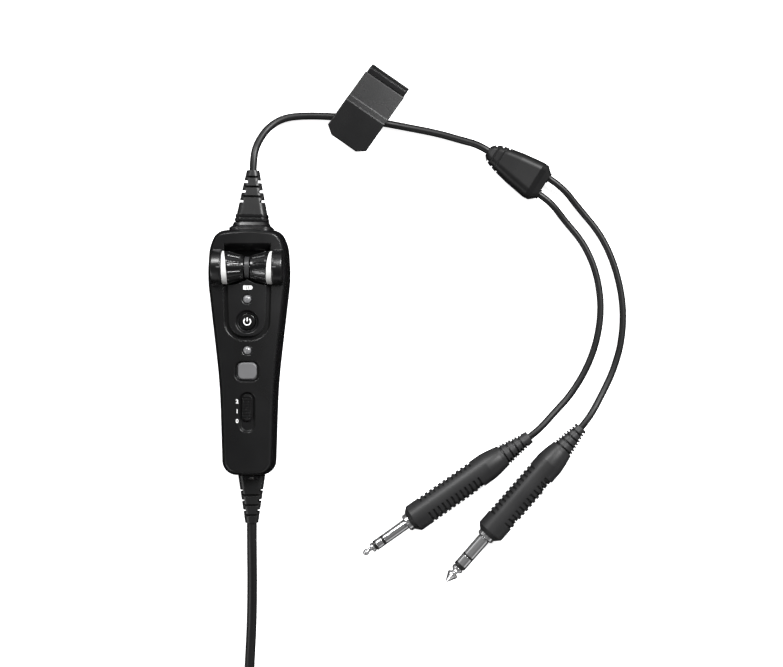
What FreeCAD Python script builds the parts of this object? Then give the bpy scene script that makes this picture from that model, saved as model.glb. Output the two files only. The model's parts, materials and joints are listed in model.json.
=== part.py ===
"""In-line control module and plug cable of an aviation headset.

Millimetres. Origin at the bottom centre of the control module, which lies on its back.
+Z is up, out of the module's front face. +Y runs along the module towards the plug cable.
+X is to the right as seen from above.
"""
import FreeCAD, Part
import math
import os

os.makedirs("parts", exist_ok=True)

Vec = FreeCAD.Vector
UP = Vec(0, 0, 1)

# Housing outline, seen from the front: right-hand corners and the radius at each
HOUSING_TOP_Y = 60.0
HOUSING_BOTTOM_Y = -62.7
HEAD_SHOULDER = (15.9, 58.4)
HEAD_SHOULDER_RADIUS = 7.5
HEAD_CORNER = (19.5, 50.4)
HEAD_CORNER_RADIUS = 20.0
WIDEST = (20.5, 35.3)
WIDEST_RADIUS = 75.0
WAIST = (14.5, -16.7)
WAIST_RADIUS = 300.0
FOOT_CORNER = (13.1, -61.5)
FOOT_CORNER_RADIUS = 8.5
END_CROWN_RADIUS = 70.0

# Housing depth and walls
FACE_Z = 27.0
PARTING_Z = 14.0
PARTING_GAP = 0.3
WALL = 1.7
FACE_WALL = 2.0
LIP_INSET = 2.0
LIP_THICKNESS = 1.0
LIP_HEIGHT = 1.6
LIP_GAP_HALF = 7.8
FRONT_SHOULDER = ((0.0, 0.0), (6.5, 0.5), (10.5, 1.2), (12.3, 1.9), (13.0, 2.7))
BACK_ROUNDING = ((0.0, 0.0), (7.0, 0.6), (11.2, 2.0), (13.2, 3.8), (14.0, 5.2))

# Neck and seats that hold the strain reliefs, which stand a little to the right
EXIT_Z = 12.0
UPPER_EXIT_X = 0.9
LOWER_EXIT_X = 0.9
NECK_LENGTH = 3.0
NECK_BURIED = 3.0
NECK_ROOT = (21.4, 17.4)
NECK_WAIST = (18.4, 15.4)
NECK_WAIST_AT = 1.3
NECK_MOUTH = (17.0, 14.0)
NECK_CORNER = 4.0
SEAT_SIZE = (11.0, 8.4)
SEAT_CORNER = 2.0
RELIEF_FIT = 0.3
CABLE_FIT = 0.15

# Volume wheels, carried on one fixed axle
WHEEL_AXIS_Y = 39.8
WHEEL_AXIS_Z = 25.4
AXLE_RADIUS = 1.0
RUNNING_FIT = 0.05
PRESS_FIT = 0.02
WHEEL_INNER_X = 1.7
WHEEL_OUTER_X = 12.1
WHEEL_WAIST_RADIUS = 5.9
WHEEL_RADIUS = 8.1
FLUTE_COUNT = 12
FLUTE_RADIUS = 0.95
FLUTE_DEPTH = 0.55
FLUTE_START_X = 3.4
FLUTE_END_X = 8.6
BAND_WIDTH = 1.46
BAND_SLOPE_Y = -0.097
BAND_SLOPE_Z = 0.103
BAND_DEPTH = 1.2
BRIDGE_WIDTH = 2.2
BRIDGE_RADIUS = 5.3
BAY_CLEARANCE = 0.45

# Fixed hoods at the outer ends of the wheels, and the volume controls inside them
HOOD_RADIUS = 8.75
HOOD_INNER_X = 12.45
HOOD_OUTER_X = 17.4
HOOD_WALL = 0.9
CONTROL_RADIUS = 5.6
SCOOP_TOP_Y = 51.6
SCOOP_HALF_WIDTH = 11.4
SCOOP_DEPTH = 4.6

# Centre panel and the groove round it
PANEL_HALF_WIDTH_TOP = 9.4
PANEL_HALF_WIDTH_LOW = 8.6
PANEL_BOTTOM_Y = 6.5
PANEL_CORNER = 7.4
PANEL_CUSP_Y = 34.1
PANEL_SHOULDER_Y = 31.2
GROOVE_WIDTH = 2.4
GROOVE_DEPTH = 1.7
PANEL_THICKNESS = 2.4

# Lights
LIGHT_UPPER_Y = 24.4
LIGHT_LOWER_Y = -0.5
LENS_RADIUS = 1.9
LENS_HOLE_RADIUS = 2.1
LENS_FLANGE_RADIUS = 2.8
LENS_DOME = 0.8

# Power button
POWER_Y = 13.5
POWER_RECESS_RADIUS = 5.7
POWER_RECESS_DEPTH = 1.4
POWER_BUTTON_RADIUS = 3.85
BUTTON_CLEARANCE = 0.3
BUTTON_TRAVEL = 0.6
BUTTON_DOME = 0.5

# Function button
FUNCTION_Y = -10.5
FUNCTION_SIZE = (9.2, 8.2)
FUNCTION_CORNER = 2.6
FUNCTION_RECESS = (12.3, 10.6)
FUNCTION_RECESS_CORNER = 3.8
FUNCTION_RECESS_DEPTH = 1.3

# Priority slide switch
SLIDE_MID_Y = -30.6
SLIDE_SLOT = (8.2, 19.8)
SLIDE_TRACK = (5.8, 18.2)
SLIDE_TRACK_DEPTH = 1.3
SLIDE_KNOB_LENGTH = 13.0
SLIDE_TRAVEL = 4.6
SLIDE_CLEARANCE = 0.3
SLIDE_RIB_COUNT = 8
SLIDE_RIB_PITCH = 1.35
SLIDE_STEM = (2.4, 4.0)
SLIDE_SWITCH = (6.5, 15.0, 4.2)

# Circuit board and what stands on it
BOARD_Z = 17.9
BOARD_THICKNESS = 1.2
BOARD_INSET = 3.2
SWITCH_BODY = 6.0
SWITCH_HEIGHT = 2.6
PLUNGER_RADIUS = 1.6

# Batteries: two AA cells side by side
CELL_RADIUS = 7.1
CELL_LENGTH = 49.5
CELL_NUB_RADIUS = 2.7
CELL_NUB_LENGTH = 1.0
CELL_SPACING = 14.6
CELL_Z = 8.85
CELL_CLEARANCE = 0.25
CELL_START_Y = 1.0
SPRING_LENGTH = 3.0
SPRING_WIRE_RADIUS = 0.25
SPRING_RADIUS = 2.6
SPRING_TURNS = 2.5
CONTACT_THICKNESS = 0.4
CONTACT_REACH = 5.0
CONTACT_REACH_Z = 4.0

# Battery door, hinged at its lower end; it swings down through a right angle
DOOR_BOTTOM_Y = -4.2
DOOR_TOP_Y = 53.2
DOOR_EDGE_Z = 5.0
DOOR_GAP = 0.3
DOOR_HINGE_GAP = 1.3
DOOR_WALL = 1.4
DOOR_RECESS = 0.25
HINGE_Z = 1.3
HINGE_RADIUS = 1.1
HINGE_HALF_LENGTH = 6.0
HINGE_OFFSET = 2.2
HINGE_PIN_RADIUS = 0.5

# Case screws
SCREW_SPOTS = ((7.6, -53.0), (9.4, -13.0), (11.0, 56.6))
SCREW_SHANK_RADIUS = 1.0
SCREW_CLEARANCE = 0.25
SCREW_HEAD_RADIUS = 2.0
SCREW_HEAD_HEIGHT = 1.4
SCREW_SEAT_Z = 6.0
SCREW_POST_RADIUS = 2.9
SCREW_LENGTH = 14.0

# Auxiliary jack for a 3.5 mm plug, in the left wall
JACK_Y = -27.0
JACK_Z = 8.5
JACK_BORE_RADIUS = 1.75
JACK_BARREL_RADIUS = 3.0
JACK_DEPTH = 12.0

# Strain reliefs of the module
UPPER_RELIEF_LENGTH = 25.8
UPPER_RELIEF_BASE = (16.3, 12.0)
UPPER_RELIEF_TIP = (6.3, 6.2)
UPPER_RELIEF_LEAN = 1.1
UPPER_FACE_SLOT_START = 4.0
UPPER_SIDE_SLOT_START = 6.05
UPPER_SLOT_PITCH = 4.87
UPPER_SIDE_SLOT_DEPTH = 2.0
UPPER_SLOT_SLANT = 5.6
LOWER_RELIEF_LENGTH = 23.6
LOWER_RELIEF_BASE = (13.0, 11.0)
LOWER_RELIEF_TIP = (6.5, 6.4)
LOWER_FACE_SLOT_START = 4.45
LOWER_SIDE_SLOT_START = 6.65
LOWER_SLOT_PITCH = 5.0
LOWER_SIDE_SLOT_DEPTH = 1.4
RELIEF_SLOT = 1.1
RELIEF_SLOT_COUNT = 3
FACE_SLOT_DEPTH = 1.2
RELIEF_FLANGE = 2.0
FLANGE_SETBACK = 1.8
FLANGE_GROWTH = 2.4
COLLAR_SIZE = (15.4, 12.2)
COLLAR_LENGTH = 3.4
COLLAR_STEPS = ((1.0, 0.0, 1.4), (0.0, 1.4, 2.1), (0.4, 2.1, 3.4))
COLLAR_GAP = 0.4

# Bright clamp in the lower relief, seen through three windows
CRIMP_WINDOWS = ((-3.4, -2.6), (-1.3, 1.3), (2.6, 3.4))
CRIMP_START = 0.8
CRIMP_LENGTH = 1.1
CRIMP_COVER = 1.2
CRIMP_WALL = 0.8
CRIMP_MARGIN = 0.4
CRIMP_CORNER = 2.4

# Cables
PLUG_CABLE_DIAMETER = 3.7
LEAD_DIAMETER = 3.4
HEADSET_CABLE_DIAMETER = 5.0
ARC_SHARE = 0.45

# Branch moulding where the cable splits
BRANCH_NOSE = (118.5, 99.1)
BRANCH_HEADING = -32.5
BRANCH_Z = 5.6
BRANCH_SECTIONS = ((0.0, 5.0, 5.0), (1.8, 9.0, 7.2), (4.2, 11.3, 8.6), (9.0, 13.9, 10.0),
                   (16.2, 16.9, 11.0), (27.0, 20.0, 11.2), (29.8, 19.5, 8.2), (32.8, 14.2, 6.2))
BRANCH_ROUNDING = 0.42
BRANCH_GROOVES = (3.6, 6.8)
BRANCH_SIDE_GROOVES = (2.1, 5.2, 8.4)
BRANCH_GROOVE_WIDTH = 0.8
BRANCH_GROOVE_DEPTH = 0.9
LEAD_SPACING = 9.4
LEAD_COLLAR_SEAT = 3.4
LEAD_COLLAR_REACH = 0.6
LEAD_COLLAR_RADIUS = 2.5

# Garment clip on the plug cable
CLIP_CENTRE = (56.4, 116.5)
CLIP_HEADING = 55.3
CLIP_CABLE_HEADING = -8.1
CLIP_CABLE_SETBACK = 1.8
CLIP_WIDTH = 23.0
CLIP_BASE_INSET = 0.5
CLIP_THUMB_LENGTH = 17.6
CLIP_BASE_THUMB_LENGTH = 11.0
CLIP_JAW_LENGTH = 23.6
CLIP_THUMB_CHAMFER = (4.2, 3.0)
CLIP_PLATE = 1.8
CLIP_THUMB_Z = 14.3
CLIP_CREASE = (1.2, 4.2)
CLIP_CREASE_Z = (13.6, 12.2)
CLIP_TIP_Z = 10.4
CLIP_LIP = 5.2
CLIP_LIP_GAP = 0.3
CLIP_LIP_STEP = 2.2
CLIP_LIP_STEP_Z = 8.6
CLIP_COLLAR_WALL = 1.3
CLIP_COLLAR_LENGTH = 7.0
CLIP_PIN_RADIUS = 0.75
CLIP_PIN_Z = 9.9
CLIP_LUG_RADIUS = 1.6
CLIP_LUG_TOP_Z = 12.6
CLIP_EAR_RADIUS = 1.9
CLIP_EAR_X = 6.2
CLIP_SPRING_WIRE = 0.25
CLIP_SPRING_RADIUS = 1.15
CLIP_SPRING_TURNS = 5
CLIP_SPRING_PITCH = 0.9

# Plug grips, which lie on the table
HANDLE_RADIUS = 7.15
HANDLE_BARREL = 47.5
HANDLE_NOSE_CHAMFER = 2.4
HANDLE_SHOULDER = 55.5
HANDLE_SHOULDER_RADIUS = 5.8
HANDLE_SHOULDER_EASE = 0.55
HANDLE_TAIL_RADIUS = 3.2
GRIP_START = 9.8
GRIP_PITCH = 2.7
GRIP_COUNT = 12
GRIP_WIDTH = 1.2
GRIP_DEPTH = 0.7
GRIP_HALF_ANGLE = 62.0
TAIL_GROOVE_COUNT = 4
TAIL_GROOVE_START = 1.6
TAIL_GROOVE_PITCH = 3.4
TAIL_GROOVE_WIDTH = 1.0
TAIL_RING_DEPTH = 0.9
TAIL_SLOT_DEPTH = 1.3
TAIL_SLOT_WIDTH = 0.8

# Plug contacts: one quarter-inch and one 0.206-inch, both three-pole; distances from the tip
FERRULE_RADIUS = 4.5
FERRULE_LENGTH = 2.2
FERRULE_DEPTH = 6.0
SHANK_GAP = 0.05
SLEEVE_SHOULDER_GAP = 0.3
INSULATOR_INSET = 0.01
PHONE = {"tip": (97.5, -116.1), "heading": 48.8, "grip_turn": 12.0, "handle": 71.1, "radius": 3.175,
         "root": 2.75, "shank": 31.0, "tip_end": 9.8, "first_insulator": 11.4, "ring_end": 16.2,
         "second_insulator": 17.2, "rod": 1.1, "tube": 2.2}
MIC = {"tip": (56.1, -102.4), "heading": 35.2, "grip_turn": 20.0, "handle": 72.9, "radius": 2.615, "root": 2.3,
       "shank": 28.5, "tip_end": 7.2, "first_insulator": 8.4, "ring_end": 11.6,
       "second_insulator": 13.0, "rod": 0.85, "tube": 1.75}

# Coil of the headset cable, put away below the module
COIL_CENTRE = (32.9, -200.5)
COIL_OUTER_RADIUS = 34.4
COIL_PITCH = 5.55
COIL_LAYER_RISE = 5.5
COIL_BASE_Z = 3.5
COIL_REVERSAL = 2.5
COIL_TURNS = 5.25
TIE_WIDTH = 6.0
TIE_THICKNESS = 0.8
TIE_ANGLES = (45.0, 205.0)
TIE_CLEARANCE = 0.5

# Connector on the far end of the headset cable
CONNECTOR_SIZE = (12.0, 9.0)
CONNECTOR_OFFSET = (35.0, -1.0)
CONNECTOR_RELIEF = 8.0
CONNECTOR_LENGTH = 22.0
CONNECTOR_SHELL = (9.6, 6.0)
CONNECTOR_SHELL_LENGTH = 6.5
CONNECTOR_SHELL_WALL = 0.5
CONNECTOR_PIN_RADIUS = 0.45
CONNECTOR_PIN_PITCH = 2.0

# Plain shapes


def box(x0, x1, y0, y1, z0, z1):
    return Part.makeBox(x1 - x0, y1 - y0, z1 - z0, Vec(x0, y0, z0))


def rod(radius, start, end):
    return Part.makeCylinder(radius, (end - start).Length, start, end - start)


def ring(outer, inner, start, end):
    return rod(outer, start, end).cut(rod(inner, start, end))


def fuse(shapes):
    whole = shapes[0]
    for shape in shapes[1:]:
        whole = whole.fuse(shape)
    return whole.removeSplitter()


def cut(base, tools):
    for tool in tools:
        base = base.cut(tool)
    return base


def mirror_x(shape):
    return shape.mirror(Vec(0, 0, 0), Vec(1, 0, 0))


def both_sides(shape):
    return Part.makeCompound([shape, mirror_x(shape)])


def heading(degrees):
    angle = math.radians(degrees)
    return Vec(math.cos(angle), math.sin(angle), 0)


def stand_along(shape, start, direction):
    """Turn a shape that was built up +Z so that it runs along a level direction, its +Y upwards."""
    along = Vec(direction).normalize()
    side = UP.cross(along)
    turn = FreeCAD.Matrix(side.x, UP.x, along.x, start.x,
                          side.y, UP.y, along.y, start.y,
                          side.z, UP.z, along.z, start.z,
                          0, 0, 0, 1)
    placed = shape.copy()
    placed.Placement = FreeCAD.Placement(turn).multiply(placed.Placement)
    return placed


def rounded_wire(corners, z):
    """Closed wire through corners (x, y, radius), each rounded by a tangent arc."""
    points = [Vec(x, y, z) for x, y, _ in corners]
    edges = []
    stretches = []
    for index, (_, _, radius) in enumerate(corners):
        here = points[index]
        back = points[index - 1] - here
        ahead = points[(index + 1) % len(points)] - here
        turn = math.pi - back.getAngle(ahead)
        room = 0.49 * min(back.Length, ahead.Length)
        reach = min(radius * math.tan(turn / 2), room)
        actual = reach / math.tan(turn / 2)
        start = here + Vec(back).normalize() * reach
        end = here + Vec(ahead).normalize() * reach
        inward = (Vec(back).normalize() + Vec(ahead).normalize()).normalize()
        middle = here + inward * (actual / math.cos(turn / 2) - actual)
        stretches.append((start, middle, end))
    for index, (start, middle, end) in enumerate(stretches):
        edges.append(Part.Arc(start, middle, end).toShape())
        following = stretches[(index + 1) % len(stretches)][0]
        edges.append(Part.LineSegment(end, following).toShape())
    return Part.Wire(edges)


def rectangle_corners(width, height, radius, x=0.0, y=0.0):
    limited = min(radius, 0.48 * width, 0.48 * height)
    right, top = width / 2, height / 2
    return [(x + right, y + top, limited), (x - right, y + top, limited),
            (x - right, y - top, limited), (x + right, y - top, limited)]


def prism(corners, z0, z1):
    return Part.Face(rounded_wire(corners, z0)).extrude(Vec(0, 0, z1 - z0))


def loft(sections):
    return Part.makeLoft([rounded_wire(corners, z) for z, corners in sections], True, True)


def capsule(radius, start, end):
    """Round-ended rod, for flutes with rounded ends."""
    parts = [rod(radius, start, end), Part.makeSphere(radius, start), Part.makeSphere(radius, end)]
    return fuse(parts)


# Housing outline


def outline_corners():
    right = [HEAD_SHOULDER + (HEAD_SHOULDER_RADIUS,), HEAD_CORNER + (HEAD_CORNER_RADIUS,),
             WIDEST + (WIDEST_RADIUS,), WAIST + (WAIST_RADIUS,), FOOT_CORNER + (FOOT_CORNER_RADIUS,)]
    left = [(-x, y, radius) for x, y, radius in reversed(right)]
    crown = [(0.0, HOUSING_TOP_Y, END_CROWN_RADIUS)]
    foot = [(0.0, HOUSING_BOTTOM_Y, END_CROWN_RADIUS)]
    return crown + right + foot + left


def inset_corners(corners, inset):
    """Move every side of a clockwise outline inwards, keeping its arcs concentric."""
    count = len(corners)
    points = [Vec(x, y, 0) for x, y, _ in corners]
    lines = []
    for index in range(count):
        start = points[index]
        run = (points[(index + 1) % count] - start).normalize()
        inward = Vec(run.y, -run.x, 0)
        lines.append((start + inward * inset, run))
    moved = []
    for index, (_, _, radius) in enumerate(corners):
        before, before_run = lines[index - 1]
        after, after_run = lines[index]
        cross = before_run.x * after_run.y - before_run.y * after_run.x
        gap = after - before
        share = (gap.x * after_run.y - gap.y * after_run.x) / cross
        corner = before + before_run * share
        change = -inset if cross < 0 else inset
        moved.append((corner.x, corner.y, max(radius + change, 0.4)))
    return moved


OUTLINE = outline_corners()


def housing_front(extra, z_drop=0.0):
    """Solid of the front half of the housing, moved in by extra and its face lowered by z_drop."""
    span = FACE_Z - PARTING_Z
    depth = span - z_drop
    sections = []
    for rise, inset in FRONT_SHOULDER:
        z = PARTING_Z + rise * depth / FRONT_SHOULDER[-1][0]
        sections.append((z, inset_corners(OUTLINE, inset + extra)))
    return loft(sections)


def housing_back(extra, z_rise=0.0):
    """Solid of the rear half of the housing, moved in by extra and its back raised by z_rise."""
    depth = PARTING_Z - z_rise
    sections = []
    for drop, inset in BACK_ROUNDING:
        z = PARTING_Z - drop * depth / BACK_ROUNDING[-1][0]
        sections.append((z, inset_corners(OUTLINE, inset + extra)))
    return loft(sections[::-1])


# Strain reliefs of the module and the necks that hold them


def upper_neck():
    root = rectangle_corners(*NECK_ROOT, NECK_CORNER)
    waist = rectangle_corners(*NECK_WAIST, NECK_CORNER)
    mouth = rectangle_corners(*NECK_MOUTH, NECK_CORNER)
    neck = loft([(-NECK_BURIED, root), (0.2, root), (NECK_WAIST_AT, waist), (NECK_LENGTH, mouth)])
    return stand_along(neck, Vec(UPPER_EXIT_X, NECK_BASE_Y, EXIT_Z), Vec(0, 1, 0))


NECK_BASE_Y = HOUSING_TOP_Y - 0.35
UPPER_MOUTH_Y = NECK_BASE_Y + NECK_LENGTH
LOWER_MOUTH_Y = HOUSING_BOTTOM_Y + 0.3


def seat_cut(x, mouth_y, inward):
    """Passage for a relief's seat, through the end wall."""
    passage = prism(rectangle_corners(SEAT_SIZE[0] + 2 * RELIEF_FIT, SEAT_SIZE[1] + 2 * RELIEF_FIT, SEAT_CORNER),
                    -1.0, NECK_LENGTH + 4.0)
    return stand_along(passage, Vec(x, mouth_y, EXIT_Z), Vec(0, inward, 0))


def relief_slot(x0, x1, y0, y1, start, slant):
    """One slot across a relief, its walls leaning by slant degrees."""
    slot = box(x0, x1, y0, y1, start, start + RELIEF_SLOT)
    slot.rotate(Vec(0, 0, start + RELIEF_SLOT / 2), Vec(1, 0, 0), slant)
    return slot


def slot_starts(length, from_tip, pitch):
    return [length - from_tip - pitch * step for step in range(RELIEF_SLOT_COUNT)]


def relief_body(length, base, tip, face_slots, side_slots, side_depth, slant, passage_length):
    """Tapered relief standing up +Z, with its seat and inner flange below z = 0."""
    corner = min(tip) / 2 - 0.2
    body = loft([(0.0, rectangle_corners(*base, corner)), (length, rectangle_corners(*tip, corner))])
    slots = []
    for start in face_slots:
        share = (start + RELIEF_SLOT / 2) / length
        width = base[0] + (tip[0] - base[0]) * share
        depth = base[1] + (tip[1] - base[1]) * share
        reach = depth / 2 - FACE_SLOT_DEPTH
        slots.append(relief_slot(-width, width, reach, depth, start, 0.0))
        slots.append(relief_slot(-width, width, -depth, -reach, start, 0.0))
    for start in side_slots:
        share = (start + RELIEF_SLOT / 2) / length
        width = base[0] + (tip[0] - base[0]) * share
        depth = base[1] + (tip[1] - base[1]) * share
        reach = width / 2 - side_depth
        slots.append(relief_slot(reach, width, -depth, depth, start, slant))
        slots.append(relief_slot(-width, -reach, -depth, depth, start, slant))
    body = cut(body, slots)
    seat = prism(rectangle_corners(*SEAT_SIZE, SEAT_CORNER), -passage_length, 0.0)
    flange = prism(rectangle_corners(SEAT_SIZE[0] + FLANGE_GROWTH, SEAT_SIZE[1] + FLANGE_GROWTH, SEAT_CORNER),
                   -passage_length - RELIEF_FLANGE, -passage_length)
    return fuse([body, seat, flange])


UPPER_PASSAGE = NECK_LENGTH + WALL + FLANGE_SETBACK
LOWER_PASSAGE = WALL + FLANGE_SETBACK


def upper_relief():
    face_slots = slot_starts(UPPER_RELIEF_LENGTH, UPPER_FACE_SLOT_START, UPPER_SLOT_PITCH)
    side_slots = slot_starts(UPPER_RELIEF_LENGTH, UPPER_SIDE_SLOT_START, UPPER_SLOT_PITCH)
    body = relief_body(UPPER_RELIEF_LENGTH, UPPER_RELIEF_BASE, UPPER_RELIEF_TIP, face_slots, side_slots,
                       UPPER_SIDE_SLOT_DEPTH, -UPPER_SLOT_SLANT, UPPER_PASSAGE)
    collar_room = prism(rectangle_corners(30, 30, 1.0), -0.01, COLLAR_GAP + COLLAR_LENGTH)
    core = prism(rectangle_corners(*SEAT_SIZE, SEAT_CORNER), -0.5, COLLAR_GAP + COLLAR_LENGTH)
    body = body.cut(collar_room.cut(core))
    return lean(stand_along(body, Vec(UPPER_EXIT_X, UPPER_MOUTH_Y, EXIT_Z), Vec(0, 1, 0)))


def upper_collar():
    """Two-ridged ring round the foot of the upper relief."""
    width, depth = COLLAR_SIZE
    ridges = [prism(rectangle_corners(width + extra, depth + extra, 3.0), COLLAR_GAP + start, COLLAR_GAP + end)
              for extra, start, end in COLLAR_STEPS]
    hole = prism(rectangle_corners(SEAT_SIZE[0] + 2 * PRESS_FIT, SEAT_SIZE[1] + 2 * PRESS_FIT, SEAT_CORNER),
                 -1.0, COLLAR_LENGTH + 2.0)
    return lean(stand_along(fuse(ridges).cut(hole), Vec(UPPER_EXIT_X, UPPER_MOUTH_Y, EXIT_Z), Vec(0, 1, 0)))


def lean(shape):
    turned = shape.copy()
    turned.rotate(Vec(UPPER_EXIT_X, UPPER_MOUTH_Y - UPPER_PASSAGE, EXIT_Z), UP, -UPPER_RELIEF_LEAN)
    return turned


def upper_relief_tip():
    reach = UPPER_PASSAGE + UPPER_RELIEF_LENGTH
    return Vec(UPPER_EXIT_X, UPPER_MOUTH_Y - UPPER_PASSAGE, EXIT_Z) + heading(90 - UPPER_RELIEF_LEAN) * reach


def lower_relief():
    face_slots = slot_starts(LOWER_RELIEF_LENGTH, LOWER_FACE_SLOT_START, LOWER_SLOT_PITCH)
    side_slots = slot_starts(LOWER_RELIEF_LENGTH, LOWER_SIDE_SLOT_START, LOWER_SLOT_PITCH)
    body = relief_body(LOWER_RELIEF_LENGTH, LOWER_RELIEF_BASE, LOWER_RELIEF_TIP, face_slots, side_slots,
                       LOWER_SIDE_SLOT_DEPTH, 0.0, LOWER_PASSAGE)
    depth = LOWER_RELIEF_BASE[1]
    reach = depth / 2 - CRIMP_COVER - CRIMP_WALL / 2
    windows = []
    for low, high in CRIMP_WINDOWS:
        for y0, y1 in ((reach, depth), (-depth, -reach)):
            windows.append(box(low, high, y0, y1, CRIMP_START, CRIMP_START + CRIMP_LENGTH))
    body = cut(body, [crimp_band(PRESS_FIT)] + windows)
    return stand_along(body, Vec(LOWER_EXIT_X, LOWER_MOUTH_Y, EXIT_Z), Vec(0, -1, 0))


def crimp_band(grow):
    """The clamp's band, or with grow the room for it, standing up +Z."""
    width = LOWER_RELIEF_BASE[0] - 2 * CRIMP_COVER
    depth = LOWER_RELIEF_BASE[1] - 2 * CRIMP_COVER
    low = CRIMP_START - CRIMP_MARGIN - grow
    high = CRIMP_START + CRIMP_LENGTH + CRIMP_MARGIN + grow
    outer = prism(rectangle_corners(width + 2 * grow, depth + 2 * grow, CRIMP_CORNER + grow), low, high)
    inner = rectangle_corners(width - 2 * CRIMP_WALL - 2 * grow, depth - 2 * CRIMP_WALL - 2 * grow,
                              CRIMP_CORNER - CRIMP_WALL - grow)
    return outer.cut(prism(inner, low - 1.0, high + 1.0))


def crimp_ring():
    """Bright metal clamp that shows through the windows of the lower relief."""
    return stand_along(crimp_band(0.0), Vec(LOWER_EXIT_X, LOWER_MOUTH_Y, EXIT_Z), Vec(0, -1, 0))


# Volume wheels


def wheel_axis(x):
    return Vec(x, WHEEL_AXIS_Y, WHEEL_AXIS_Z)


def band_plane():
    """Half-space outside the slanted joint between the right wheel's barrel and its level band."""
    corners = []
    for y, z in ((-20, -20), (20, -20), (20, 20), (-20, 20)):
        width = BAND_WIDTH + BAND_SLOPE_Y * y + BAND_SLOPE_Z * z
        corners.append(Vec(WHEEL_OUTER_X - width, WHEEL_AXIS_Y + y, WHEEL_AXIS_Z + z))
    face = Part.Face(Part.makePolygon(corners + corners[:1]))
    return face.extrude(Vec(20, 0, 0))


def wheel_blank():
    """Right wheel's full turned shape: a barrel that widens outwards along a hollow curve."""
    mid_x = (WHEEL_INNER_X + WHEEL_OUTER_X) / 2 - 0.6
    mid_radius = (WHEEL_WAIST_RADIUS + WHEEL_RADIUS) / 2 - 0.1
    rim_x = WHEEL_OUTER_X - 2.9
    start = Vec(WHEEL_INNER_X, WHEEL_WAIST_RADIUS, 0)
    flare = Part.Arc(start, Vec(mid_x - 0.6, mid_radius, 0), Vec(rim_x, WHEEL_RADIUS, 0)).toShape()
    rim = Part.LineSegment(Vec(rim_x, WHEEL_RADIUS, 0), Vec(WHEEL_OUTER_X, WHEEL_RADIUS, 0)).toShape()
    outer_end = Part.LineSegment(Vec(WHEEL_OUTER_X, WHEEL_RADIUS, 0), Vec(WHEEL_OUTER_X, 0, 0)).toShape()
    axis = Part.LineSegment(Vec(WHEEL_OUTER_X, 0, 0), Vec(WHEEL_INNER_X, 0, 0)).toShape()
    inner_end = Part.LineSegment(Vec(WHEEL_INNER_X, 0, 0), start).toShape()
    profile = Part.Face(Part.Wire([flare, rim, outer_end, axis, inner_end]))
    blank = profile.revolve(Vec(0, 0, 0), Vec(1, 0, 0), 360)
    blank.translate(wheel_axis(0))
    return blank


def volume_wheel():
    barrel = wheel_blank()
    bore = rod(AXLE_RADIUS + RUNNING_FIT, wheel_axis(0), wheel_axis(WHEEL_OUTER_X + 1))
    rise = (WHEEL_RADIUS - WHEEL_WAIST_RADIUS) / (WHEEL_OUTER_X - 2.9 - WHEEL_INNER_X)
    flutes = []
    for step in range(FLUTE_COUNT):
        angle = math.radians((step + 0.5) * 360 / FLUTE_COUNT)
        out = Vec(0, math.cos(angle), math.sin(angle))
        ends = []
        for x in (FLUTE_START_X, FLUTE_END_X):
            surface = WHEEL_WAIST_RADIUS + rise * (x - WHEEL_INNER_X)
            ends.append(wheel_axis(x) + out * (surface + FLUTE_RADIUS - FLUTE_DEPTH))
        flutes.append(capsule(FLUTE_RADIUS, *ends))
    shell = wheel_blank().cut(rod(WHEEL_RADIUS - BAND_DEPTH, wheel_axis(0), wheel_axis(WHEEL_OUTER_X + 1)))
    band_room = shell.common(band_plane())
    return cut(barrel, [bore, band_room] + flutes)


def level_band():
    """Wedge-shaped indicator ring, widest where the volume is highest."""
    blank = rod(WHEEL_RADIUS, wheel_axis(WHEEL_INNER_X), wheel_axis(WHEEL_OUTER_X))
    hole = rod(WHEEL_RADIUS - BAND_DEPTH + PRESS_FIT, wheel_axis(0), wheel_axis(WHEEL_OUTER_X + 1))
    return blank.cut(hole).common(band_plane())


AXLE_REACH = HOOD_OUTER_X - HOOD_WALL - 0.3


def wheel_axle():
    return rod(AXLE_RADIUS, wheel_axis(-AXLE_REACH), wheel_axis(AXLE_REACH))


def axle_bore():
    return rod(AXLE_RADIUS + PRESS_FIT, wheel_axis(-AXLE_REACH - 0.3), wheel_axis(AXLE_REACH + 0.3))


def wheel_bridge():
    """Middle post between the wheels; its round head carries the axle."""
    half = BRIDGE_WIDTH / 2
    head = rod(BRIDGE_RADIUS, wheel_axis(-half), wheel_axis(half))
    foot = box(-half, half, WHEEL_AXIS_Y - 4.0, WHEEL_AXIS_Y + 4.0, BAY_FLOOR_Z, WHEEL_AXIS_Z)
    bore = rod(AXLE_RADIUS + PRESS_FIT, wheel_axis(-half - 1), wheel_axis(half + 1))
    return fuse([head, foot]).cut(bore)


BAY_FLOOR_Z = CELL_Z + CELL_RADIUS + 0.75
TRAY_TOP_Z = BAY_FLOOR_Z


def volume_control():
    """Rotary volume control inside the right hood, standing on the board."""
    inner_x = HOOD_INNER_X + HOOD_WALL + 0.1
    outer_x = HOOD_OUTER_X - HOOD_WALL - 0.1
    drum = rod(CONTROL_RADIUS, wheel_axis(inner_x), wheel_axis(outer_x))
    foot = box(inner_x, outer_x, WHEEL_AXIS_Y - 4.0, WHEEL_AXIS_Y + 4.0, BOARD_TOP, WHEEL_AXIS_Z)
    bore = rod(AXLE_RADIUS + PRESS_FIT, wheel_axis(inner_x - 1), wheel_axis(outer_x + 1))
    return fuse([drum, foot]).cut(bore)


BOARD_TOP = BOARD_Z + BOARD_THICKNESS

# Front cover


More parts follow.
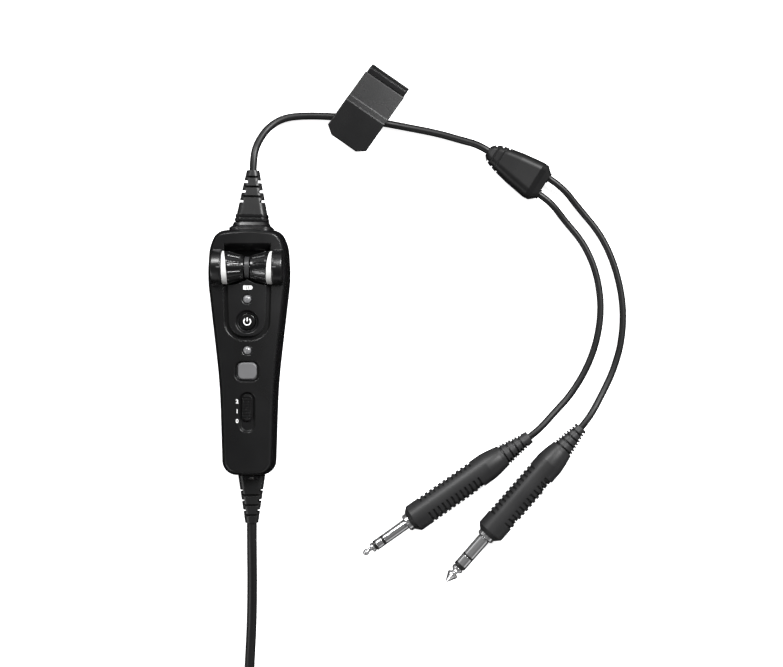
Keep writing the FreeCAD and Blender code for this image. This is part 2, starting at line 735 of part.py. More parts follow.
def hood():
    """Half-round hood over the outer end of the right wheel."""
    outer = rod(HOOD_RADIUS, wheel_axis(HOOD_INNER_X), wheel_axis(HOOD_OUTER_X))
    inner = rod(HOOD_RADIUS - HOOD_WALL, wheel_axis(HOOD_INNER_X + HOOD_WALL), wheel_axis(HOOD_OUTER_X - HOOD_WALL))
    floor_z = FACE_Z - FACE_WALL
    lower_half = box(0, 30, 0, 80, -10, floor_z - 1.5)
    edges = [edge for edge in outer.Edges if edge.Length > HOOD_RADIUS * 5]
    rounded = outer.makeFillet(0.6, edges)
    return cut(rounded, [inner, lower_half])


def hood_room():
    """Space under the right hood, cut through the cover's face."""
    return rod(HOOD_RADIUS - HOOD_WALL, wheel_axis(HOOD_INNER_X + HOOD_WALL), wheel_axis(HOOD_OUTER_X - HOOD_WALL))


def wheel_bay():
    half_length = WHEEL_RADIUS + BAY_CLEARANCE
    return box(-HOOD_INNER_X, HOOD_INNER_X, WHEEL_AXIS_Y - half_length, WHEEL_AXIS_Y + half_length,
               BAY_FLOOR_Z, FACE_Z + 1)


def finger_scoop():
    """Sloping hollow above the wheels that lets a fingertip in."""
    near_y = WHEEL_AXIS_Y + WHEEL_RADIUS + BAY_CLEARANCE - 0.5
    profile = [Vec(-SCOOP_HALF_WIDTH, SCOOP_TOP_Y, FACE_Z), Vec(-SCOOP_HALF_WIDTH, SCOOP_TOP_Y, FACE_Z + 2),
               Vec(-SCOOP_HALF_WIDTH, near_y, FACE_Z + 2), Vec(-SCOOP_HALF_WIDTH, near_y, FACE_Z - SCOOP_DEPTH)]
    face = Part.Face(Part.makePolygon(profile + profile[:1]))
    return face.extrude(Vec(2 * SCOOP_HALF_WIDTH, 0, 0))


def scoop_skin():
    """Sloping wall that closes the cover under the scoop."""
    near_y = WHEEL_AXIS_Y + WHEEL_RADIUS + BAY_CLEARANCE
    far_y = SCOOP_TOP_Y + 2.2
    half = SCOOP_HALF_WIDTH + 1.4
    return box(-half, half, near_y, far_y, FACE_Z - SCOOP_DEPTH - 1.4, FACE_Z - 0.6)


def panel_corners(grow, top=PANEL_SHOULDER_Y):
    """Outline of the centre panel below the wheels, clockwise from its upper left."""
    bottom = PANEL_BOTTOM_Y - grow
    wide = PANEL_HALF_WIDTH_TOP + grow
    narrow = PANEL_HALF_WIDTH_LOW + grow
    round_low = PANEL_CORNER + grow
    return [(-wide, top, 0.4), (wide, top, 0.4), (narrow, bottom, round_low), (-narrow, bottom, round_low)]


def centre_panel():
    floor_z = FACE_Z - GROOVE_DEPTH
    plate = prism(panel_corners(0.0), floor_z, FACE_Z)
    cusp = Part.Face(Part.Wire([
        Part.Arc(Vec(-PANEL_HALF_WIDTH_TOP, PANEL_SHOULDER_Y, floor_z),
                 Vec(-4.6, PANEL_SHOULDER_Y + 0.75, floor_z),
                 Vec(0, PANEL_CUSP_Y, floor_z)).toShape(),
        Part.Arc(Vec(0, PANEL_CUSP_Y, floor_z), Vec(4.6, PANEL_SHOULDER_Y + 0.75, floor_z),
                 Vec(PANEL_HALF_WIDTH_TOP, PANEL_SHOULDER_Y, floor_z)).toShape(),
        Part.LineSegment(Vec(PANEL_HALF_WIDTH_TOP, PANEL_SHOULDER_Y, floor_z),
                         Vec(-PANEL_HALF_WIDTH_TOP, PANEL_SHOULDER_Y, floor_z)).toShape()]))
    plate = fuse([plate, cusp.extrude(Vec(0, 0, GROOVE_DEPTH))])
    peg_floor = FACE_Z - PANEL_THICKNESS
    peg = prism(inset_panel(1.6), peg_floor, floor_z)
    plate = fuse([plate, peg])
    return cut(plate, [light_hole(LIGHT_UPPER_Y), power_recess(), power_hole()])


def inset_panel(inset):
    top = PANEL_SHOULDER_Y - 1.2
    wide = PANEL_HALF_WIDTH_TOP - inset
    narrow = PANEL_HALF_WIDTH_LOW - inset
    bottom = PANEL_BOTTOM_Y + inset
    return [(-wide, top, 1.0), (wide, top, 1.0), (narrow, bottom, PANEL_CORNER - inset),
            (-narrow, bottom, PANEL_CORNER - inset)]


def light_hole(y):
    through = rod(LENS_HOLE_RADIUS, Vec(0, y, FACE_Z - 6), Vec(0, y, FACE_Z + 1))
    bevel = Part.makeCone(LENS_HOLE_RADIUS, LENS_HOLE_RADIUS + 0.5, 0.5, Vec(0, y, FACE_Z - 0.5), UP)
    return through.fuse(bevel)


def power_recess():
    depth = POWER_RECESS_DEPTH
    return Part.makeCone(POWER_RECESS_RADIUS - 0.9, POWER_RECESS_RADIUS, depth,
                         Vec(0, POWER_Y, FACE_Z - depth), UP)


def power_hole():
    return rod(POWER_BUTTON_RADIUS + BUTTON_CLEARANCE, Vec(0, POWER_Y, FACE_Z - 6), Vec(0, POWER_Y, FACE_Z))


def function_hole():
    width, length = FUNCTION_SIZE
    grow = 2 * BUTTON_CLEARANCE
    hole = prism(rectangle_corners(width + grow, length + grow, FUNCTION_CORNER, 0.0, FUNCTION_Y),
                 FACE_Z - 5, FACE_Z)
    wide = rectangle_corners(*FUNCTION_RECESS, FUNCTION_RECESS_CORNER, 0.0, FUNCTION_Y)
    floor = rectangle_corners(FUNCTION_RECESS[0] - 1.6, FUNCTION_RECESS[1] - 1.6,
                              FUNCTION_RECESS_CORNER - 0.8, 0.0, FUNCTION_Y)
    recess = loft([(FACE_Z - FUNCTION_RECESS_DEPTH, floor), (FACE_Z, wide)])
    return hole.fuse(recess)


def slide_slot():
    """Stadium track for the switch knob, with a narrow slit through its floor."""
    wide = rectangle_corners(*SLIDE_SLOT, SLIDE_SLOT[0] / 2, 0.0, SLIDE_MID_Y)
    track = rectangle_corners(*SLIDE_TRACK, SLIDE_TRACK[0] / 2, 0.0, SLIDE_MID_Y)
    recess = loft([(FACE_Z - SLIDE_TRACK_DEPTH, track), (FACE_Z, wide)])
    slit_half = SLIDE_STEM[1] / 2 + SLIDE_TRAVEL / 2 + SLIDE_CLEARANCE
    slit = box(-SLIDE_STEM[0] / 2 - SLIDE_CLEARANCE, SLIDE_STEM[0] / 2 + SLIDE_CLEARANCE,
               SLIDE_MID_Y - slit_half, SLIDE_MID_Y + slit_half, FACE_Z - 6, FACE_Z)
    return recess.fuse(slit)


def all_screw_spots():
    return [(side * x, y) for x, y in SCREW_SPOTS for side in (-1, 1)]


def front_cover():
    cavity = housing_front(WALL, FACE_WALL)
    shell = housing_front(0.0).cut(cavity)
    front_half = box(-60, 60, -100, 100, PARTING_Z, 60)
    neck = upper_neck().common(front_half).cut(cavity)
    posts = []
    bores = [axle_bore()]
    for x, y in all_screw_spots():
        post = rod(SCREW_POST_RADIUS, Vec(x, y, PARTING_Z), Vec(x, y, FACE_Z - 1.0))
        posts.append(post.common(housing_front(0.2)))
        bores.append(rod(SCREW_SHANK_RADIUS + PRESS_FIT, Vec(x, y, PARTING_Z - 1), Vec(x, y, SCREW_TIP_Z + 0.5)))
    panel_bed = prism(panel_corners(GROOVE_WIDTH + 1.2), FACE_Z - 3.4, FACE_Z - 1.0)
    body = fuse([shell, neck, scoop_skin(), panel_bed, hood(), mirror_x(hood())] + posts)
    panel_pocket = prism(panel_corners(GROOVE_WIDTH, PANEL_CUSP_Y), FACE_Z - GROOVE_DEPTH, FACE_Z + 1)
    panel_seat = prism(inset_panel(1.5), FACE_Z - 5, FACE_Z)
    hood_rooms = [hood_room(), mirror_x(hood_room())]
    body = cut(body, [panel_pocket, panel_seat, wheel_bay(), finger_scoop(),
                      seat_cut(UPPER_EXIT_X, UPPER_MOUTH_Y, -1), seat_cut(LOWER_EXIT_X, LOWER_MOUTH_Y, 1),
                      light_hole(LIGHT_LOWER_Y), function_hole(), slide_slot()]
               + hood_rooms + bores)
    return body


SCREW_TIP_Z = SCREW_SEAT_Z + SCREW_LENGTH

# Rear shell, battery door and what they hold


def cell_places():
    return [Vec(side * CELL_SPACING / 2, CELL_START_Y, CELL_Z) for side in (-1, 1)]


ROOM_START_Y = CELL_START_Y - SPRING_LENGTH - CONTACT_THICKNESS - 0.1
ROOM_END_Y = CELL_START_Y + CELL_LENGTH + CELL_NUB_LENGTH + CONTACT_THICKNESS + 0.1


def cell_tubes():
    radius = CELL_RADIUS + CELL_CLEARANCE
    return [rod(radius, Vec(place.x, ROOM_START_Y, CELL_Z), Vec(place.x, ROOM_END_Y, CELL_Z))
            for place in cell_places()]


def battery_room():
    """Space for the cells, springs and contacts, open downwards behind the door."""
    half = CELL_SPACING / 2 + CELL_RADIUS + CELL_CLEARANCE
    contact_half = CELL_SPACING / 2 + CONTACT_REACH + 0.1
    slot_depth = CONTACT_THICKNESS + 0.2
    contact_high = CELL_Z + CONTACT_REACH_Z + 0.1
    slots = [box(-contact_half, contact_half, ROOM_START_Y, ROOM_START_Y + slot_depth, CELL_Z - 1, contact_high),
             box(-contact_half, contact_half, ROOM_END_Y - slot_depth, ROOM_END_Y, CELL_Z - 1, contact_high)]
    return fuse(cell_tubes() + slots + [box(-half, half, ROOM_START_Y, ROOM_END_Y, -1, CELL_Z)])


def battery_tray():
    """Walls round the cells, above the parting line as well as below it."""
    start = ROOM_START_Y - 1.2
    end = ROOM_END_Y + 1.2
    seam = PARTING_Z - PARTING_GAP
    lower = box(-20, 20, start, end, DOOR_EDGE_Z + DOOR_GAP, seam).common(housing_back(WALL / 2))
    upper = box(-20, 20, start, end, seam - 1.0, TRAY_TOP_Z).common(ring_wall(LIP_INSET, 0.0, 0.0, 40.0))
    return fuse([lower, upper])


def ring_wall(inset, thickness, z0, z1):
    """Upright wall that follows the housing's outline; thickness 0 fills it."""
    wall = prism(inset_corners(OUTLINE, inset), z0, z1)
    if thickness:
        wall = wall.cut(prism(inset_corners(OUTLINE, inset + thickness), z0, z1))
    return wall


def hinge_line(x):
    return Vec(x, DOOR_BOTTOM_Y - HINGE_OFFSET, HINGE_Z)


def rear_shell():
    cavity = housing_back(WALL, WALL)
    shell = housing_back(0.0).cut(cavity)
    rear_half = box(-60, 60, -100, 100, -5, PARTING_Z)
    neck = upper_neck().common(rear_half).cut(cavity)
    posts = []
    for x, y in all_screw_spots():
        post = rod(SCREW_POST_RADIUS, Vec(x, y, 0), Vec(x, y, PARTING_Z - PARTING_GAP))
        posts.append(post.common(housing_back(0.2, 0.2)))
    hinge_block = box(-10, 10, hinge_line(0).y - 2.6, DOOR_BOTTOM_Y, 0.3, 4.2)
    jack_boss = rod(JACK_BARREL_RADIUS + 1.2, Vec(-jack_wall_x() + 0.5, JACK_Y, JACK_Z),
                    Vec(-jack_wall_x() + 3.0, JACK_Y, JACK_Z))
    body = fuse([shell, neck, hinge_block, jack_boss.common(housing_back(0.2))] + posts)
    top_trim = box(-60, 60, -100, 100, PARTING_Z - PARTING_GAP, 60)
    body = body.cut(top_trim)
    body = body.cut(box(-30, 30, DOOR_BOTTOM_Y - DOOR_HINGE_GAP, DOOR_TOP_Y + DOOR_GAP,
                        -1, DOOR_EDGE_Z + DOOR_GAP))
    seam = PARTING_Z - PARTING_GAP
    lip_root = ring_wall(WALL / 2, LIP_INSET + LIP_THICKNESS - WALL / 2, seam - 2.0, seam)
    lip = ring_wall(LIP_INSET, LIP_THICKNESS, seam - 0.5, PARTING_Z + LIP_HEIGHT)
    lip_gaps = [box(UPPER_EXIT_X - LIP_GAP_HALF, UPPER_EXIT_X + LIP_GAP_HALF, 40, 80, 0, 40),
                box(LOWER_EXIT_X - LIP_GAP_HALF, LOWER_EXIT_X + LIP_GAP_HALF, -80, -40, 0, 40)]
    for x, y in all_screw_spots():
        lip_gaps.append(rod(SCREW_POST_RADIUS + 0.3, Vec(x, y, seam), Vec(x, y, 40)))
    body = fuse([body, battery_tray(), cut(lip_root, lip_gaps), cut(lip, lip_gaps)])
    hinge_half = HINGE_HALF_LENGTH + 0.3
    hinge_room = rod(HINGE_RADIUS + 0.3, hinge_line(-hinge_half), hinge_line(hinge_half))
    hinge_mouth = box(-hinge_half, hinge_half, hinge_line(0).y - HINGE_RADIUS - 0.3, DOOR_BOTTOM_Y + 1,
                      -1, HINGE_Z)
    pin_bore = rod(HINGE_PIN_RADIUS + PRESS_FIT, hinge_line(-9), hinge_line(9))
    jack_hole = rod(JACK_BARREL_RADIUS + PRESS_FIT, Vec(-jack_wall_x() - 5, JACK_Y, JACK_Z),
                    Vec(-jack_wall_x() + 6, JACK_Y, JACK_Z))
    screw_tools = []
    for x, y in all_screw_spots():
        screw_tools.append(rod(SCREW_SHANK_RADIUS + SCREW_CLEARANCE, Vec(x, y, -1), Vec(x, y, 30)))
        screw_tools.append(rod(SCREW_HEAD_RADIUS + SCREW_CLEARANCE, Vec(x, y, -1), Vec(x, y, SCREW_SEAT_Z)))
    tools = [battery_room(), hinge_room, hinge_mouth, pin_bore, jack_hole,
             seat_cut(UPPER_EXIT_X, UPPER_MOUTH_Y, -1), seat_cut(LOWER_EXIT_X, LOWER_MOUTH_Y, 1)] + screw_tools
    return cut(body, tools)


def battery_door():
    """Lower skin of the housing round the cells; it swings down from its lower end."""
    skin = housing_back(0.0, DOOR_RECESS).cut(housing_back(DOOR_WALL, DOOR_RECESS + DOOR_WALL))
    panel = skin.common(box(-30, 30, DOOR_BOTTOM_Y, DOOR_TOP_Y, -1, DOOR_EDGE_Z))
    barrel = rod(HINGE_RADIUS, hinge_line(-HINGE_HALF_LENGTH), hinge_line(HINGE_HALF_LENGTH))
    arm = box(-HINGE_HALF_LENGTH, HINGE_HALF_LENGTH, hinge_line(0).y, DOOR_BOTTOM_Y + 0.5,
              HINGE_Z - HINGE_RADIUS, HINGE_Z)
    bore = rod(HINGE_PIN_RADIUS + RUNNING_FIT, hinge_line(-9), hinge_line(9))
    grips = []
    for step in range(5):
        y = DOOR_TOP_Y - 4.0 - 1.6 * step
        grips.append(box(-5.0, 5.0, y, y + 0.8, -0.1, DOOR_RECESS + 0.4))
    return cut(fuse([panel, barrel, arm]), cell_tubes() + [bore] + grips)


def door_hinge_pin():
    reach = HINGE_HALF_LENGTH + 2.4
    return rod(HINGE_PIN_RADIUS, hinge_line(-reach), hinge_line(reach))


def battery_cells():
    cells = []
    for place in cell_places():
        end = place + Vec(0, CELL_LENGTH, 0)
        can = rod(CELL_RADIUS, place, end)
        can = can.makeFillet(0.6, [edge for edge in can.Edges if edge.Length > CELL_RADIUS * 5])
        cells.append(fuse([can, rod(CELL_NUB_RADIUS, end, end + Vec(0, CELL_NUB_LENGTH, 0))]))
    return Part.makeCompound(cells)


def battery_contacts():
    """One plate behind the springs and one behind the nubs of both cells."""
    half = CELL_SPACING / 2 + CONTACT_REACH
    low = CELL_START_Y - SPRING_LENGTH - CONTACT_THICKNESS
    high = CELL_START_Y + CELL_LENGTH + CELL_NUB_LENGTH
    plates = []
    for start in (low, high):
        plates.append(box(-half, half, start, start + CONTACT_THICKNESS,
                          CELL_Z - CONTACT_REACH_Z, CELL_Z + CONTACT_REACH_Z))
    return Part.makeCompound(plates)


def biarc(start, start_run, end, end_run):
    """Two arcs that leave start along start_run and arrive at end along end_run."""
    gap = end - start
    total = start_run + end_run
    spread = 2 * (1 - start_run.dot(end_run))
    along = gap.dot(total)
    reach = (math.sqrt(along * along + spread * gap.dot(gap)) - along) / spread
    joint = (start + end + (start_run - end_run) * reach) * 0.5
    return [tangent_arc(start, start_run, joint), tangent_arc(joint, end - end_run * reach - joint, end)]


def tangent_arc(start, run, end):
    """Arc from start to end that leaves along run."""
    run = Vec(run).normalize()
    chord = end - start
    half_turn = run.getAngle(chord)
    chord_run = Vec(chord).normalize()
    side = (run - chord_run * run.dot(chord_run)).normalize()
    middle = start + chord * 0.5 + side * (chord.Length / 2 * math.tan(half_turn / 2))
    return Part.Arc(start, middle, end).toShape()


def swept_wire(edges, radius):
    """Round section carried along a smooth wire."""
    path = Part.Wire(edges)
    first = edges[0]
    start = first.valueAt(first.FirstParameter)
    run = first.tangentAt(first.FirstParameter)
    section = Part.Wire([Part.Circle(start, run, radius).toShape()])
    sweep = Part.BRepOffsetAPI.MakePipeShell(path)
    sweep.add(section)
    sweep.build()
    sweep.makeSolid()
    return sweep.shape()


def helix_edges(radius, pitch, turns, centre, axis_y):
    """Turns about a line along Y, as quarter-turn biarcs."""
    quarters = int(round(turns * 4))
    places = []
    for step in range(quarters + 1):
        angle = step * math.pi / 2
        out = Vec(math.cos(angle), 0, math.sin(angle))
        round_run = Vec(-math.sin(angle), 0, math.cos(angle)) * radius
        run = (round_run * (math.pi / 2) + Vec(0, axis_y * pitch / 4, 0)).normalize()
        places.append((centre + out * radius + Vec(0, axis_y * pitch * step / 4, 0), run))
    edges = []
    for (start, start_run), (end, end_run) in zip(places, places[1:]):
        edges += biarc(start, start_run, end, end_run)
    return edges


def battery_springs():
    springs = []
    wire = SPRING_WIRE_RADIUS
    pitch = (SPRING_LENGTH - 2 * wire - 0.1) / SPRING_TURNS
    for place in cell_places():
        start = Vec(place.x, CELL_START_Y - SPRING_LENGTH + wire + 0.05, CELL_Z)
        springs.append(swept_wire(helix_edges(SPRING_RADIUS, pitch, SPRING_TURNS, start, 1.0), wire))
    return Part.makeCompound(springs)


def case_screws():
    screws = []
    for x, y in all_screw_spots():
        head_z = SCREW_SEAT_Z - SCREW_HEAD_HEIGHT
        head = rod(SCREW_HEAD_RADIUS, Vec(x, y, head_z), Vec(x, y, SCREW_SEAT_Z))
        slots = [box(x - 1.3, x + 1.3, y - 0.3, y + 0.3, head_z - 1, head_z + 0.8),
                 box(x - 0.3, x + 0.3, y - 1.3, y + 1.3, head_z - 1, head_z + 0.8)]
        shank = rod(SCREW_SHANK_RADIUS, Vec(x, y, SCREW_SEAT_Z), Vec(x, y, SCREW_TIP_Z))
        screws.append(cut(fuse([head, shank]), slots))
    return Part.makeCompound(screws)


def jack_wall_x():
    """Half width of the housing where the jack comes through."""
    share = (JACK_Y - FOOT_CORNER[1]) / (WAIST[1] - FOOT_CORNER[1])
    return FOOT_CORNER[0] + (WAIST[0] - FOOT_CORNER[0]) * share - 0.45


def aux_jack():
    face_x = -jack_wall_x()
    barrel = rod(JACK_BARREL_RADIUS, Vec(face_x, JACK_Y, JACK_Z), Vec(face_x + 3.0, JACK_Y, JACK_Z))
    block = box(face_x + 3.0, face_x + JACK_DEPTH, JACK_Y - 3.2, JACK_Y + 3.2, JACK_Z - 2.8, JACK_Z + 2.8)
    bore = rod(JACK_BORE_RADIUS, Vec(face_x - 1, JACK_Y, JACK_Z), Vec(face_x + JACK_DEPTH - 1.2, JACK_Y, JACK_Z))
    return fuse([barrel, block]).cut(bore)


# Circuit board, switches and lights


def main_board():
    board = prism(inset_corners(OUTLINE, BOARD_INSET), BOARD_Z, BOARD_TOP)
    half_length = WHEEL_RADIUS + BAY_CLEARANCE + 0.3
    notch = box(-HOOD_INNER_X - 0.3, HOOD_INNER_X + 0.3, WHEEL_AXIS_Y - half_length, 80, 0, 40)
    upper_end = box(-30, 30, WHEEL_AXIS_Y + half_length, 80, 0, 40)
    lower_end = box(-30, 30, -80, SCREW_SPOTS[0][1], 0, 40)
    holes = [rod(SCREW_POST_RADIUS + 0.3, Vec(x, y, 0), Vec(x, y, 40)) for x, y in all_screw_spots()]
    return cut(board, [notch, upper_end, lower_end] + holes)


def button_switches():
    """Press-switch bodies under the two buttons, each with a well for its plunger."""
    half = SWITCH_BODY / 2
    bodies = []
    for y in (POWER_Y, FUNCTION_Y):
        block = box(-half, half, y - half, y + half, BOARD_TOP, BOARD_TOP + SWITCH_HEIGHT)
        well = rod(PLUNGER_RADIUS + RUNNING_FIT * 2, Vec(0, y, BOARD_TOP + 0.4), Vec(0, y, 40))
        bodies.append(block.cut(well))
    return Part.makeCompound(bodies)


def switch_plunger(y):
    return rod(PLUNGER_RADIUS, Vec(0, y, BOARD_TOP + 0.4 + BUTTON_TRAVEL + 0.2), Vec(0, y, STEM_Z))


STEM_Z = BOARD_TOP + SWITCH_HEIGHT + 1.0


def power_button():
    top = FACE_Z - 0.5
    cap = rod(POWER_BUTTON_RADIUS, Vec(0, POWER_Y, FACE_Z - PANEL_THICKNESS - 0.4), Vec(0, POWER_Y, top))
    dome_radius = (POWER_BUTTON_RADIUS ** 2 + BUTTON_DOME ** 2) / (2 * BUTTON_DOME)
    dome = Part.makeSphere(dome_radius, Vec(0, POWER_Y, top + BUTTON_DOME - dome_radius))
    dome = dome.common(rod(POWER_BUTTON_RADIUS, Vec(0, POWER_Y, top), Vec(0, POWER_Y, top + 2)))
    skirt_z = FACE_Z - PANEL_THICKNESS - 0.4
    skirt = rod(POWER_BUTTON_RADIUS + 0.9, Vec(0, POWER_Y, skirt_z - 0.8), Vec(0, POWER_Y, skirt_z))
    stem = rod(PLUNGER_RADIUS, Vec(0, POWER_Y, STEM_Z), Vec(0, POWER_Y, skirt_z))
    return fuse([cap, dome, skirt, stem])


def function_button():
    width, length = FUNCTION_SIZE
    top = FACE_Z - 0.3
    floor_z = FACE_Z - FACE_WALL - 0.4
    shape = rectangle_corners(width, length, FUNCTION_CORNER, 0.0, FUNCTION_Y)
    bevel = rectangle_corners(width - 1.0, length - 1.0, FUNCTION_CORNER - 0.5, 0.0, FUNCTION_Y)
    cap = loft([(floor_z, shape), (top - 0.4, shape), (top, bevel)])
    flange = prism(rectangle_corners(width + 1.8, length + 1.8, FUNCTION_CORNER, 0.0, FUNCTION_Y),
                   floor_z - 0.8, floor_z)
    stem = rod(PLUNGER_RADIUS, Vec(0, FUNCTION_Y, STEM_Z), Vec(0, FUNCTION_Y, floor_z))
    return fuse([cap, flange, stem])


def slider_mid_y():
    return SLIDE_MID_Y + SLIDE_TRAVEL / 2


def priority_slider():
    """Ribbed knob in its upper position, with a stem down to the slide switch."""
    mid = slider_mid_y()
    width = SLIDE_TRACK[0] - 2 * SLIDE_CLEARANCE
    floor_z = FACE_Z - SLIDE_TRACK_DEPTH + 0.15
    low = rectangle_corners(width, SLIDE_KNOB_LENGTH, width / 2, 0.0, mid)
    high = rectangle_corners(width - 0.8, SLIDE_KNOB_LENGTH - 0.8, width / 2, 0.0, mid)
    knob = loft([(floor_z, low), (FACE_Z - 0.2, low), (FACE_Z + 0.3, high)])
    valleys = []
    for step in range(SLIDE_RIB_COUNT):
        y = mid + (step - (SLIDE_RIB_COUNT - 1) / 2) * SLIDE_RIB_PITCH
        valleys.append(box(-width / 2 + 0.3, width / 2 - 0.3, y - 0.28, y + 0.28, FACE_Z - 0.35, FACE_Z + 1))
    stem = box(-SLIDE_STEM[0] / 2, SLIDE_STEM[0] / 2, mid - SLIDE_STEM[1] / 2, mid + SLIDE_STEM[1] / 2,
               BOARD_TOP + SLIDE_SWITCH[2] - 1.2, floor_z)
    return cut(fuse([knob, stem]), valleys)


def slide_switch():
    """Metal-cased slide switch on the board, with a slot for the knob's stem."""
    width, length, height = SLIDE_SWITCH
    case = box(-width / 2, width / 2, SLIDE_MID_Y - length / 2, SLIDE_MID_Y + length / 2,
               BOARD_TOP, BOARD_TOP + height)
    half_x = SLIDE_STEM[0] / 2 + SLIDE_CLEARANCE
    half_y = (SLIDE_STEM[1] + SLIDE_TRAVEL) / 2 + SLIDE_CLEARANCE
    slot = box(-half_x, half_x, SLIDE_MID_Y - half_y, SLIDE_MID_Y + half_y, BOARD_TOP + height - 1.6, 40)
    return case.cut(slot)


def light_lens(y):
    """Clear dome that is held from inside by its flange."""
    flange_top = FACE_Z - PANEL_THICKNESS - 0.05
    flange = rod(LENS_FLANGE_RADIUS, Vec(0, y, flange_top - 0.8), Vec(0, y, flange_top))
    post = rod(LENS_RADIUS, Vec(0, y, flange_top), Vec(0, y, FACE_Z - 0.3))
    dome_radius = (LENS_RADIUS ** 2 + LENS_DOME ** 2) / (2 * LENS_DOME)
    centre = Vec(0, y, FACE_Z - 0.3 + LENS_DOME - dome_radius)
    dome = Part.makeSphere(dome_radius, centre)
    dome = dome.common(rod(LENS_RADIUS, Vec(0, y, FACE_Z - 0.3), Vec(0, y, FACE_Z + 3)))
    return fuse([flange, post, dome])


def light_emitters():
    chips = []
    for y in (LIGHT_UPPER_Y, LIGHT_LOWER_Y):
        base = box(-1.6, 1.6, y - 1.6, y + 1.6, BOARD_TOP, BOARD_TOP + 1.2)
        bulb = rod(1.4, Vec(0, y, BOARD_TOP + 1.2), Vec(0, y, FACE_Z - PANEL_THICKNESS - 1.2))
        chips.append(fuse([base, bulb]))
    return Part.makeCompound(chips)


# Branch moulding


def branch_point(distance, across=0.0, z=BRANCH_Z):
    along = heading(BRANCH_HEADING)
    left = UP.cross(along)
    return Vec(BRANCH_NOSE[0], BRANCH_NOSE[1], z) + along * distance + left * across


def branch_section(share_distance):
    """Width and depth of the moulding at a distance from its nose."""
    for before, after in zip(BRANCH_SECTIONS, BRANCH_SECTIONS[1:]):
        if before[0] <= share_distance <= after[0]:
            share = (share_distance - before[0]) / (after[0] - before[0])
            return [before[k] + (after[k] - before[k]) * share for k in (1, 2)]
    return BRANCH_SECTIONS[-1][1:]


def y_junction():
    sections = []
    for distance, width, depth in BRANCH_SECTIONS:
        sections.append((distance, rectangle_corners(width, depth, BRANCH_ROUNDING * depth)))
    body = loft(sections)
    grooves = []
    for distance in BRANCH_GROOVES:
        width, depth = branch_section(distance)
        reach = depth / 2 - BRANCH_GROOVE_DEPTH
        for side in (-1, 1):
            low, high = sorted((side * reach, side * depth))
            grooves.append(box(-width, width, low, high, distance, distance + BRANCH_GROOVE_WIDTH))
    for distance in BRANCH_SIDE_GROOVES:
        width, depth = branch_section(distance)
        reach = width / 2 - BRANCH_GROOVE_DEPTH
        for side in (-1, 1):
            low, high = sorted((side * reach, side * width))
            grooves.append(box(low, high, -depth, depth, distance, distance + BRANCH_GROOVE_WIDTH))
    body = cut(body, grooves)
    end = BRANCH_SECTIONS[-1][0]
    for side in (-1, 1):
        across = side * LEAD_SPACING / 2
        seat = Vec(across, 0, end - LEAD_COLLAR_SEAT)
        body = body.cut(rod(LEAD_COLLAR_RADIUS + PRESS_FIT, seat, seat + Vec(0, 0, 2 * LEAD_COLLAR_SEAT)))
    return stand_along(body, branch_point(0), heading(BRANCH_HEADING))


def lead_collars():
    """Short round necks round the two leads, seated in the branch moulding."""
    end = BRANCH_SECTIONS[-1][0]
    collars = []
    for side in (-1, 1):
        across = side * LEAD_SPACING / 2
        start = Vec(across, 0, end - LEAD_COLLAR_SEAT)
        collars.append(rod(LEAD_COLLAR_RADIUS, start, Vec(across, 0, end + LEAD_COLLAR_REACH)))
    return stand_along(Part.makeCompound(collars), branch_point(0), heading(BRANCH_HEADING))


def lead_exit(side):
    """Where a lead leaves its collar; side +1 is the left one, seen along the cable."""
    return branch_point(BRANCH_SECTIONS[-1][0] + LEAD_COLLAR_REACH, side * LEAD_SPACING / 2)


# Garment clip: built with its jaw along +Y, its pivot over the origin and the cable at z = 0


def place_clip(shape):
    placed = shape.copy()
    placed.rotate(Vec(0, 0, 0), UP, CLIP_HEADING - 90)
    placed.translate(Vec(CLIP_CENTRE[0], CLIP_CENTRE[1], 0))
    return placed


CLIP_CABLE_Z = PLUG_CABLE_DIAMETER / 2 + CABLE_FIT + CLIP_COLLAR_WALL
CLIP_JAW_Z = CLIP_CABLE_Z + PLUG_CABLE_DIAMETER / 2 + CABLE_FIT + 0.6


def clip_cable_point(distance):
    """Point on the cable's line through the clip, at a distance from the middle of its sleeve."""
    under = Vec(CLIP_CENTRE[0], CLIP_CENTRE[1], CLIP_CABLE_Z) - heading(CLIP_HEADING) * CLIP_CABLE_SETBACK
    return under + heading(CLIP_CABLE_HEADING) * distance


def cable_run_in_clip():
    turn = math.radians(CLIP_CABLE_HEADING - (CLIP_HEADING - 90))
    return Vec(math.cos(turn), math.sin(turn), 0)


